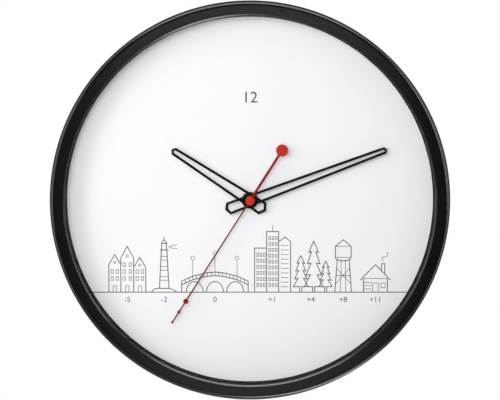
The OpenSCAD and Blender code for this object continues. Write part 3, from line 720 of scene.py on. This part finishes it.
def outline(length, tail, mid_w, tip_w, tip_h, tail_h, inset):
    """The six corners of a hollow hand, drawn in by inset"""
    slope = (mid_w - tip_w) / 2 / (length - tip_h)
    tail_half = mid_w / 2 + slope * (tail - tail_h) - inset
    tip_half = tip_w / 2 - inset
    # How far each corner moves along the hand for each millimetre of inset
    tip_point, tip_side, tail_point, tail_side = (
        step * inset for step in (1.15, 0.35, 1.25, 0.55))
    return [(0, length - tip_point), (-tip_half, length - tip_h - tip_side),
            (-tail_half, -tail + tail_h + tail_side), (0, -tail + tail_point),
            (tail_half, -tail + tail_h + tail_side), (tip_half, length - tip_h - tip_side)]


def circle_points(x, y, radius, count):
    return [(x + radius * math.cos(2 * math.pi * i / count),
             y + radius * math.sin(2 * math.pi * i / count)) for i in range(count)]


def filled(loops, thickness):
    """Flat plate from closed loops, where an inner loop is a hole"""
    curve = bpy.data.curves.new("plate", "CURVE")
    curve.dimensions = "2D"
    curve.fill_mode = "BOTH"
    for loop in loops:
        spline = curve.splines.new("POLY")
        spline.points.add(len(loop) - 1)
        for point, (x, y) in zip(spline.points, loop):
            point.co = (x, y, 0, 1)
        spline.use_cyclic_u = True
    mesh = mesh_of_curve(curve, thickness)
    tidy_normals(mesh)
    return mesh


def joined(name, meshes, material):
    work = bmesh.new()
    for mesh in meshes:
        work.from_mesh(mesh)
    result = bpy.data.meshes.new(name)
    work.to_mesh(result)
    work.free()
    return add_object(name, result, material)


def plate_thickness(node):
    low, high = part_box(node)
    return high[1] - low[1]


def bevelled(piece, width):
    bevel = piece.modifiers.new("stamped_edge", "BEVEL")
    bevel.width = width
    bevel.segments = 2
    bevel.limit_method = "ANGLE"
    bevel.angle_limit = math.radians(40)


def combine(piece, other, operation="UNION"):
    """Joins another piece's solid into this one, or cuts it out"""
    step = piece.modifiers.new("combine", "BOOLEAN")
    step.operation = operation
    step.solver = "EXACT"
    step.object = other
    mesh = evaluated_mesh(piece)
    piece.modifiers.remove(step)
    old = piece.data
    piece.data = mesh
    bpy.data.meshes.remove(old)
    bpy.data.objects.remove(other)


def hollow_hand(node, numbers, hub_radius, bore_radius, body):
    """An outline plate with a hub disc"""
    material = hand_black_material()
    thick = plate_thickness(node)
    inset = sizes().outline_width / MM
    loops = [[(x * MM, y * MM) for x, y in outline(**numbers, inset=i)] for i in (0, inset)]
    frame_plate = add_object(node + "_plate", filled(loops, thick), material)
    hub = add_object("hub", filled([circle_points(0, 0, hub_radius, 96),
                                    circle_points(0, 0, bore_radius, 48)], thick), material)
    combine(frame_plate, hub)
    frame_plate.data.transform(hand_place(node))
    tidy_normals(frame_plate.data)
    bevelled(frame_plate, sizes().hand_bevel)
    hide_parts(node)
    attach(frame_plate, body)


def make_second_hand():
    """Needle with three dots, a tail with its counterweight, and a centre disc"""
    material = hand_red_material()
    thick = plate_thickness("second_hand")
    tip, weight = 0.1563, -0.0643
    needle_half, tail_half, overlap = 0.0008, 0.0014, 0.001

    def bar(name, half, low, high):
        corners = [(-half, low), (half, low), (half, high), (-half, high)]
        return add_object(name, filled([corners], thick), material)

    needle = bar("second_hand_needle", needle_half, 0, tip)
    combine(needle, bar("tail", tail_half, weight, overlap))
    discs = [(weight, 0.0065), (0.1291, 0.0028), (0.143, 0.00185), (tip, 0.0014), (0, 0.0044)]
    for place, radius in discs:
        disc = add_object("disc", filled([circle_points(0, place, radius, 48)], thick), material)
        combine(needle, disc)
    needle.data.transform(hand_place("second_hand"))
    tidy_normals(needle.data)
    bevelled(needle, sizes().hand_bevel)
    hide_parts("second_hand")
    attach(needle, "second_hand_body")


def make_cap():
    """Soft domed cap over the second hand's centre"""
    low, high = height(CAP_HIGH[1]), height(CAP_LOW[1])
    radius, dome, edge, steps = CAP_HIGH[0], 0.00035, 0.0005, 8
    top = high - dome
    points = [(0, low), (radius, low)]
    points += arc(radius - edge, top - edge, edge, 0, 80, 6)
    points += [((radius - edge) * (1 - i / steps), top + dome * (1 - (1 - i / steps) ** 2))
               for i in range(1, steps + 1)]
    piece = turned("cap_dome", points, cap_material(), segments=96, angle=40)
    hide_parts("second_hand_cap")
    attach(piece, "second_hand_body")


# Dial print: a plain skyline in line, with hour offsets under it

def ribbon(points, width, closed):
    """Flat stroke along a path, with mitred corners, as two rows of points"""
    least_mitre = 0.45
    count = len(points)
    left, right = [], []
    for i, here in enumerate(points):
        before = points[i - 1] if i or closed else None
        after = points[(i + 1) % count] if i < count - 1 or closed else None
        steps = []
        if before:
            steps.append((Vector(here) - Vector(before)).normalized())
        if after:
            steps.append((Vector(after) - Vector(here)).normalized())
        along = sum(steps, Vector((0, 0)))
        along = along.normalized() if along.length > 1e-6 else steps[0]
        side = Vector((-along.y, along.x))
        mitre = max(least_mitre, side.dot(Vector((-steps[0].y, steps[0].x))))
        reach = side * (width / 2 / mitre)
        left.append(Vector(here) + reach)
        right.append(Vector(here) - reach)
    return left, right


def stroke_mesh(strokes, thickness):
    """All strokes as one mesh of thin closed ribbons"""
    verts, faces = [], []
    for points, width, closed in strokes:
        left, right = ribbon(points, width, closed)
        count = len(points)
        base = len(verts)
        for a, b in zip(left, right):
            for z in (0, thickness):
                verts.append((a.x, a.y, z))
                verts.append((b.x, b.y, z))
        for i in range(count if closed else count - 1):
            p = base + 4 * i
            q = base + 4 * ((i + 1) % count)
            faces += [(p + 2, p + 3, q + 3, q + 2), (p + 1, p, q, q + 1),
                      (p, p + 2, q + 2, q), (p + 3, p + 1, q + 1, q + 3)]
        if not closed:
            end = base + 4 * (count - 1)
            faces += [(base, base + 1, base + 3, base + 2), (end + 1, end, end + 2, end + 3)]
    mesh = bpy.data.meshes.new("strokes")
    mesh.from_pydata(verts, [], faces)
    return mesh


class Sketch:
    """Collects strokes, in millimetres from a motif's own foot"""

    def __init__(self):
        self.strokes = []
        self.x = 0

    def line(self, *points, fine=False, closed=False):
        width = sizes().fine_width if fine else sizes().line_width
        ground = -sizes().ground_drop
        moved = [((x + self.x) * MM, y * MM + ground) for x, y in points]
        self.strokes.append((moved, width, closed))

    def box(self, x0, y0, x1, y1, fine=False):
        self.line((x0, y0), (x1, y0), (x1, y1), (x0, y1), fine=fine, closed=True)

    def curve(self, x, y, radius, start, end, fine=False, squash=1.0, steps=16):
        points = [(x + (px - x), y + (py - y) * squash)
                  for px, py in arc(x, y, radius, start, end, steps)]
        self.line(*points, fine=fine)

    def circle(self, x, y, radius, fine=False):
        self.line(*circle_points(x, y, radius, 24), fine=fine, closed=True)

    def windows(self, x0, y0, columns, rows, step_x, step_y, w, h):
        for column in range(columns):
            for row in range(rows):
                x, y = x0 + column * step_x, y0 + row * step_y
                self.box(x, y, x + w, y + h, fine=True)


def row_houses(s):
    """Three gabled houses of different heights, side by side"""
    for x, w, wall, top in ((-20, 13, 30, 41), (-7, 14, 37, 50), (7, 13, 27, 38)):
        s.line((x, 0), (x, wall), (x + w / 2, top), (x + w, wall), (x + w, 0))
        s.windows(x + 2.4, 13, 2, 2 if wall < 35 else 3, w - 7.4, 7.5, 2.6, 4)
        s.line((x + w / 2 - 1.8, 0), (x + w / 2 - 1.8, 7), (x + w / 2 + 1.8, 7),
               (x + w / 2 + 1.8, 0), fine=True)
        s.circle(x + w / 2, wall + 2.5, 1.3, fine=True)


def harbour_light(s):
    """Banded light tower on a low rock"""
    s.line((-5.2, 4), (-3.0, 46), (3.0, 46), (5.2, 4))
    for low in (13, 24, 35):
        half = 5.2 - 2.2 * (low - 4) / 42
        s.line((-half, low), (half, low), fine=True)
        s.line((-half + 0.2, low + 4), (half - 0.2, low + 4), fine=True)
    s.line((-4.6, 46), (4.6, 46))
    s.box(-2.5, 46, 2.5, 53)
    s.line((-3.3, 53), (0, 57.5), (3.3, 53))
    s.line((0, 57.5), (0, 61), fine=True)
    s.line((-14, 0), (-11, 3.4), (-6, 4.2), (6, 4.0), (10, 2.4), (14, 0))
    for near, far in (((5, 49.5), (14, 52)), ((5, 48.5), (14.6, 47.4))):
        s.line(near, far, fine=True)


def arched_bridge(s):
    """Stone bridge of three arches with lamps on its rail"""
    for x in (-22, 0, 22):
        s.curve(x, 0, 9.2, 180, 0, squash=1.25)
    deck = ((-36, 8), (-24, 13.5), (-10, 17), (0, 18), (10, 17), (24, 13.5), (36, 8))
    rail = 4
    for lift in (0, rail):
        s.line(*((x, y + lift) for x, y in deck))
    for x in range(-32, 33, 4):
        y = 18 - 0.0085 * x * x
        s.line((x, y), (x, y + rail), fine=True)
    for x, y in ((-24, 17), (24, 17), (0, 22)):
        s.line((x, y), (x, y + 18), fine=True)
        s.circle(x, y + 20.2, 2.0, fine=True)
    for x in (-36, 36):
        s.line((x, 0), (x, 12))


def office_blocks(s):
    """Three plain office blocks"""
    s.line((-19, 0), (-19, 48), (-6, 48), (-6, 0))
    s.windows(-16.6, 6, 3, 6, 3.6, 6.6, 1.8, 3.6)
    s.line((-6, 0), (-6, 66), (7, 66), (7, 0))
    s.line((0.5, 66), (0.5, 73), fine=True)
    s.windows(-3.6, 6, 3, 9, 3.6, 6.4, 1.8, 3.4)
    s.line((7, 55), (14, 60), (20, 55), (20, 0))
    for y in range(6, 52, 5):
        s.line((9.4, y), (17.6, y), fine=True)


def fir(s, x, top, half):
    """One fir tree, its boughs in four steps"""
    steps, foot, trunk_half = 4, 6, 1.2
    rise = (top - foot) / steps
    for side in (-1, 1):
        points = [(x, top)]
        for i in range(1, steps + 1):
            reach = half * (0.35 + 0.65 * i / steps)
            level = top - rise * i
            points.append((x + side * reach, level))
            if i < steps:
                points.append((x + side * reach * 0.45, level + 0.6))
        trunk_x = x + side * trunk_half
        s.line(*points, (trunk_x, foot), (trunk_x, 0))


def fir_trees(s):
    """Three fir trees of different heights"""
    for x, top, half in ((-11, 40, 8), (3, 56, 10), (16, 34, 7)):
        fir(s, x, top, half)


def water_tower(s):
    """Round tank on four legs"""
    s.line((-8.5, 38), (-8.5, 50), (0, 57), (8.5, 50), (8.5, 38))
    s.curve(0, 38, 8.5, 180, 360, squash=0.45)
    for y in (50, 38):
        s.line((-8.5, y), (8.5, y), fine=True)
    for x, foot in ((-6.5, -9), (6.5, 9), (-2.2, -3), (2.2, 3)):
        s.line((x, 35.2), (foot, 0), fine=abs(x) < 3)
    s.line((-7.9, 18), (7.9, 18), fine=True)
    for side in (1, -1):
        s.line((-8.4 * side, 9), (7.2 * side, 26), fine=True)


def log_cabin(s):
    """Log cabin with a pitched roof, a chimney and smoke"""
    for x in (-13, 13):
        s.line((x, 0), (x, 15))
    s.line((-16.5, 13), (0, 30), (16.5, 13))
    s.line((-13, 15), (13, 15), fine=True)
    for y in (3.5, 7, 10.5):
        s.line((-13, y), (-4, y), fine=True)
    s.line((-3, 0), (-3, 10), (3, 10), (3, 0), fine=True)
    s.box(6, 5, 10.5, 10, fine=True)
    s.line((6.5, 23.3), (6.5, 31), (10, 31), (10, 19.7))
    s.curve(9.5, 36, 2.6, 250, 80, fine=True)
    s.curve(10.6, 41.2, 2.6, 260, 430, fine=True)


SKYLINE = (
    (row_houses, -133, "-5"), (harbour_light, -93, "-2"), (arched_bridge, -38, "0"),
    (office_blocks, 24, "+1"), (fir_trees, 66, "+4"), (water_tower, 101, "+8"),
    (log_cabin, 136, "+11"),
)


def text_mesh(words, x, y, size, thickness):
    """Numerals as a thin mesh, centred on x and y in millimetres"""
    curve = bpy.data.curves.new("numerals", "FONT")
    curve.body = words
    curve.size = size * MM
    curve.align_x = "CENTER"
    curve.align_y = "CENTER"
    return mesh_of_curve(curve, thickness, x * MM, y * MM)


def make_print():
    """Skyline, hour offsets and twelve as one thin layer of ink on the dial"""
    ink_depth = 0.00006
    ground_reach, label_drop, label_size = 170.5, 8.2, 8.4
    twelve_y, twelve_size = 110.5, 17
    s = Sketch()
    s.line((-ground_reach, 0), (ground_reach, 0))
    meshes = []
    label_y = -sizes().ground_drop / MM - label_drop
    for draw, x, label in SKYLINE:
        s.x = x
        draw(s)
        meshes.append(text_mesh(label, x, label_y, label_size, ink_depth))
    meshes.append(stroke_mesh(s.strokes, ink_depth))
    meshes.append(text_mesh("12", 0, twelve_y, twelve_size, ink_depth))
    piece = joined("dial_print", meshes, print_material())
    face = height(DIAL_LOW[1])
    piece.data.transform(on_wall() @ Matrix.Translation((0, 0, face)))
    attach(piece, CASE)


# Back of the clock

def screw_tree():
    """Copies of one screw, evenly round a circle"""
    tree, enter, leave = new_tree("screws_on_circle", [
        ("Count", "Int"), ("Circle Radius", "Float"), ("First Angle", "Float"),
        ("Material", "Material")])
    add, link = tree.nodes.new, tree.links.new
    circle = add("GeometryNodeCurvePrimitiveCircle")
    points = add("GeometryNodeCurveToPoints")
    points.mode = "EVALUATED"
    place = add("GeometryNodeInstanceOnPoints")
    turn = add("ShaderNodeCombineXYZ")
    move = add("GeometryNodeTransform")
    link(enter.outputs["Count"], circle.inputs["Resolution"])
    link(enter.outputs["Circle Radius"], circle.inputs["Radius"])
    link(circle.outputs[0], points.inputs[0])
    link(points.outputs["Points"], place.inputs["Points"])
    link(enter.outputs["Geometry"], place.inputs["Instance"])
    link(enter.outputs["First Angle"], turn.inputs["Z"])
    link(place.outputs[0], move.inputs["Geometry"])
    link(turn.outputs[0], move.inputs["Rotation"])
    finish_tree(tree, move.outputs[0], enter, leave)
    return tree


def one_screw():
    """Pan head with a cross recess and its plain shank, head down at the wall side"""
    head_r, head_h, shank_r, shank_h = 0.003, 0.0013, 0.00145, 0.013
    point_h, point_r = 0.0012, 0.0003
    low = 0.0002
    shank_low, end = low + head_h, low + head_h + shank_h
    points = [(0, low), (head_r * 0.78, low), (head_r * 0.94, low + 0.00022),
              (head_r, low + 0.0006), (head_r, shank_low), (shank_r, shank_low),
              (shank_r, end - point_h), (point_r, end), (0, end)]
    screw = turned("screw_body", points, None, Matrix.Identity(4), 40)
    slot_size = (0.0036, 0.0007, 0.0018, 1)
    for angle in (0, 90):
        turn = Matrix.Rotation(math.radians(angle), 4, "Z")
        work = bmesh.new()
        bmesh.ops.create_cube(work, size=1.0, matrix=turn @ Matrix.Diagonal(slot_size))
        slot = bpy.data.meshes.new("slot")
        work.to_mesh(slot)
        work.free()
        combine(screw, add_object("slot", slot, None), "DIFFERENCE")
    smooth(screw.data, 30)
    return screw


def make_screws():
    """The six case screws, as one set"""
    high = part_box("case_screws")[1]
    head_radius = 0.003
    material = plain_finish("zinc_plated_screw")
    screw = one_screw()
    mesh = run_nodes(screw, screw_tree(), {
        "Count": 6, "Circle Radius": high[0] - head_radius, "First Angle": 0.0,
        "Material": material})
    bpy.data.objects.remove(screw)
    mesh.transform(on_wall())
    piece = add_object("screw_set", mesh, material)
    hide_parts("case_screws")
    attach(piece, CASE)


def make_cell():
    """Battery cell with its crimped jacket, nub and end disc"""
    radius = (CELL_HIGH[2] - CELL_LOW[2]) / 2
    length = CELL_HIGH[0] - CELL_LOW[0]
    centre_y = (CELL_LOW[1] + CELL_HIGH[1]) / 2
    centre_z = (CELL_LOW[2] + CELL_HIGH[2]) / 2
    fold, dish, step = 0.0006, 0.0002, 0.0003
    nub_h, nub_r = 0.001, 0.0027
    shoulder = length - nub_h
    points = [(0, dish), (radius * 0.7, dish), (radius * 0.74, 0)]
    points += arc(radius - fold, fold, fold, 270, 360, 6)
    points += arc(radius - fold, shoulder - fold, fold, 0, 90, 6)
    points += [(radius * 0.72, shoulder), (radius * 0.68, shoulder - step),
               (nub_r, shoulder - step)]
    points += arc(nub_r - step, length - step, step, 0, 90, 4)
    points += [(0, length)]
    place = Matrix.Translation((CELL_LOW[0], centre_y, centre_z)) @ Matrix.Rotation(
        math.radians(90), 4, "Y")
    piece = turned("cell_in_jacket", points, cell_material(), place, 96, 30)
    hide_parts("battery")
    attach(piece, CASE)


def make_finishes():
    """Gives every carried-over part its finish"""
    made = {}
    for node, finish in NODE_FINISHES.items():
        if finish not in made:
            made[finish] = plain_finish(finish) if isinstance(finish, str) else finish()
        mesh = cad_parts[node].data
        mesh.materials.clear()
        mesh.materials.append(made[finish])


# Stage

def floor_material():
    """Matt pale studio floor that fades into the white backdrop for the camera"""
    s = Shader("pale_floor")
    cloud = s.noise(0.8, 3)
    tone = s.ramp(cloud, [(0.3, (0.80, 0.80, 0.80)), (0.7, (0.84, 0.84, 0.84))])
    s.set(Base_Color=tone, Roughness=s.span(cloud, 0.7, 0.8))
    spot = s.add("ShaderNodeTexGradient", gradient_type="SPHERICAL")
    s.link(s.mapping(scale=(0.45, 0.45, 0)), spot.inputs[0])
    fade = s.ramp(spot.outputs["Fac"], [(0.05, (1, 1, 1)), (0.6, (0, 0, 0))])
    path = s.add("ShaderNodeLightPath")
    s.give_way(s.calc("MULTIPLY", fade, path.outputs["Is Camera Ray"]))
    return s.material


def studio_world():
    """White behind the clock, a dark room with bright sides for gloss, and a soft light"""
    world = bpy.data.worlds.new("studio_world")
    bpy.context.scene.world = world
    world.use_nodes = True
    tree = world.node_tree
    tree.nodes.clear()
    add, link = tree.nodes.new, tree.links.new

    def background(strength, colour=(1, 1, 1)):
        node = add("ShaderNodeBackground")
        node.inputs["Color"].default_value = (*colour, 1)
        node.inputs["Strength"].default_value = strength
        return node

    def mixed(factor, first, second):
        node = add("ShaderNodeMixShader")
        link(factor, node.inputs[0])
        link(first.outputs[0], node.inputs[1])
        link(second.outputs[0], node.inputs[2])
        return node

    path = add("ShaderNodeLightPath")
    direction = add("ShaderNodeTexCoord")
    split = add("ShaderNodeSeparateXYZ")
    link(direction.outputs["Generated"], split.inputs[0])

    def ramp(low, high):
        node = add("ShaderNodeMapRange")
        node.inputs["From Min"].default_value = low
        node.inputs["From Max"].default_value = high
        link(split.outputs["Y"], node.inputs["Value"])
        return node.outputs[0]

    # The room from the camera's side to the wall's side: dark, bright at the sides, dim
    sides_from, sides_to = (-0.23, -0.15), (-0.02, 0.04)
    beside = mixed(ramp(*sides_from), background(0.015), background(5.0))
    room = mixed(ramp(*sides_to), beside, background(0.1))
    white = background(1.0)
    soft = background(studio().ambient, (0.972, 0.975, 1.0))
    lit = mixed(path.outputs["Is Glossy Ray"], soft, room)
    through = mixed(path.outputs["Is Transmission Ray"], lit, white)
    seen = mixed(path.outputs["Is Camera Ray"], through, white)
    output = add("ShaderNodeOutputWorld")
    link(seen.outputs[0], output.inputs["Surface"])


# Each lamp: name, place, size, watts and what it is for: matt surfaces, gloss or all
LAMPS = (
    ("soft_high", (-0.28, -1.5, 0.2), (0.6, 0.55), 11.0, "matt"),
    ("soft_low", (-0.25, -2.0, -0.45), (0.9, 0.9), 3.2, "matt"),
    ("soft_left", (-0.9, -0.8, 0.1), (0.5, 0.9), 4.7, "matt"),
    ("strip_above", (0, -0.74, 1.33), (2.1, 0.34), 19, "gloss"),
    ("strip_below", (0.45, -0.44, -1.62), (1.5, 0.34), 14.5, "gloss"),
    ("strip_left", (-1.6, -0.9, 0.1), (0.3, 1.2), 4, "gloss"),
    ("strip_right", (1.5, -1.05, 0.25), (0.3, 1.2), 9, "gloss"),
    ("card_high", (0, -2.95, 0.356), (1.15, 0.6), 1.8, "all"),
    ("card_low", (0, -2.84, -1.14), (1.0, 0.65), 1.2, "all"),
    ("softbox_behind", (0.4, 1.8, 0.9), (1.5, 1.0), 34, "matt"),
)


def area_lamp(name, place, size, power, shown):
    """A rectangular lamp aimed at the clock, seen by what it is for alone"""
    lamp = bpy.data.lights.new(name, "AREA")
    lamp.shape = "RECTANGLE"
    lamp.size, lamp.size_y = size
    lamp.energy = power
    holder = bpy.data.objects.new(name, lamp)
    holder.visible_glossy = shown != "matt"
    holder.visible_transmission = shown != "matt"
    holder.visible_diffuse = shown != "gloss"
    holder.location = place
    aim = Vector((0, 0, CENTRE_Z)) - Vector(place)
    holder.rotation_euler = aim.to_track_quat("-Z", "Y").to_euler()
    bpy.context.scene.collection.objects.link(holder)


def make_floor():
    """Pale floor, well below the hanging clock"""
    level, half = CAD_BOX[0][2] - 1.35, 2.4
    corners = [(-half, -half, level), (half, -half, level), (half, half, level),
               (-half, half, level)]
    mesh = bpy.data.meshes.new("floor")
    mesh.from_pydata(corners, [], [(0, 1, 2, 3)])
    floor = add_object("studio_floor", mesh, floor_material())


def make_camera():
    """Camera straight in front of the clock, a little above its middle"""
    s = studio()
    camera = bpy.data.cameras.new("camera")
    camera.sensor_width = 36
    camera.lens = camera.sensor_width * s.distance / s.frame_width
    target = Vector((0, BEZEL_LOW[1] / 2, CENTRE_Z))
    away = Vector((0, -math.cos(s.elevation), math.sin(s.elevation)))
    holder = bpy.data.objects.new("camera", camera)
    holder.location = target + away * s.distance
    holder.rotation_euler = (-away).to_track_quat("-Z", "Y").to_euler()
    bpy.context.scene.collection.objects.link(holder)
    bpy.context.scene.camera = holder


def make_stage():
    bpy.context.scene.view_settings.view_transform = "Standard"
    studio_world()
    make_floor()
    make_camera()
    for lamp in LAMPS:
        area_lamp(*lamp)


class WALLCLOCK_OT_stage(bpy.types.Operator):
    """Sets up the floor, the camera and the lamps"""
    bl_idname = "wallclock.stage"
    bl_label = "Stage"

    def execute(self, context):
        make_stage()
        return {"FINISHED"}


class WALLCLOCK_OT_finishes(bpy.types.Operator):
    """Gives every carried-over part its finish"""
    bl_idname = "wallclock.finishes"
    bl_label = "Finishes"

    def execute(self, context):
        make_finishes()
        return {"FINISHED"}


class WALLCLOCK_OT_bezel(bpy.types.Operator):
    """Forms the bezel shell and the spacer ring"""
    bl_idname = "wallclock.bezel"
    bl_label = "Bezel and spacer"

    def execute(self, context):
        make_bezel()
        make_spacer()
        return {"FINISHED"}


class WALLCLOCK_OT_lens(bpy.types.Operator):
    """Forms the clear lens"""
    bl_idname = "wallclock.lens"
    bl_label = "Lens"

    def execute(self, context):
        make_lens()
        return {"FINISHED"}


class WALLCLOCK_OT_print(bpy.types.Operator):
    """Draws the dial print"""
    bl_idname = "wallclock.print"
    bl_label = "Dial print"

    def execute(self, context):
        make_print()
        return {"FINISHED"}


class WALLCLOCK_OT_hands(bpy.types.Operator):
    """Stamps the three hands and the cap"""
    bl_idname = "wallclock.hands"
    bl_label = "Hands"

    def execute(self, context):
        hollow_hand("hour_hand", HOUR_OUTLINE, hub_radius=0.0088, bore_radius=0.00251,
                    body="hour_hand_body")
        hollow_hand("minute_hand", MINUTE_OUTLINE, hub_radius=0.008, bore_radius=0.00161,
                    body="minute_hand_body")
        make_second_hand()
        make_cap()
        return {"FINISHED"}


class WALLCLOCK_OT_back(bpy.types.Operator):
    """Makes the case screws and the battery cell"""
    bl_idname = "wallclock.back"
    bl_label = "Back of the clock"

    def execute(self, context):
        make_screws()
        make_cell()
        return {"FINISHED"}


OPERATORS = (
    WALLCLOCK_OT_stage, WALLCLOCK_OT_finishes, WALLCLOCK_OT_bezel, WALLCLOCK_OT_lens,
    WALLCLOCK_OT_print, WALLCLOCK_OT_hands, WALLCLOCK_OT_back,
)


class WALLCLOCK_PT_panel(bpy.types.Panel):
    """Lists the clock's building steps"""
    bl_idname = "WALLCLOCK_PT_panel"
    bl_label = "Wall Clock"
    bl_space_type = "VIEW_3D"
    bl_region_type = "UI"
    bl_category = "Wall Clock"

    def draw(self, context):
        for operator in OPERATORS:
            self.layout.operator(operator.bl_idname)


CLASSES = (ClockSizes, ClockColours, ClockStudio, *OPERATORS, WALLCLOCK_PT_panel)


def register():
    for item in CLASSES:
        bpy.utils.register_class(item)
    bpy.types.Scene.clock_sizes = PointerProperty(type=ClockSizes)
    bpy.types.Scene.clock_colours = PointerProperty(type=ClockColours)
    bpy.types.Scene.clock_studio = PointerProperty(type=ClockStudio)


def unregister():
    del bpy.types.Scene.clock_sizes
    del bpy.types.Scene.clock_colours
    del bpy.types.Scene.clock_studio
    for item in reversed(CLASSES):
        bpy.utils.unregister_class(item)


def main():
    register()
    bpy.ops.wallclock.stage()
    bpy.ops.wallclock.finishes()
    bpy.ops.wallclock.bezel()
    bpy.ops.wallclock.lens()
    bpy.ops.wallclock.print()
    bpy.ops.wallclock.hands()
    bpy.ops.wallclock.back()


if __name__ == "__main__":
    main()
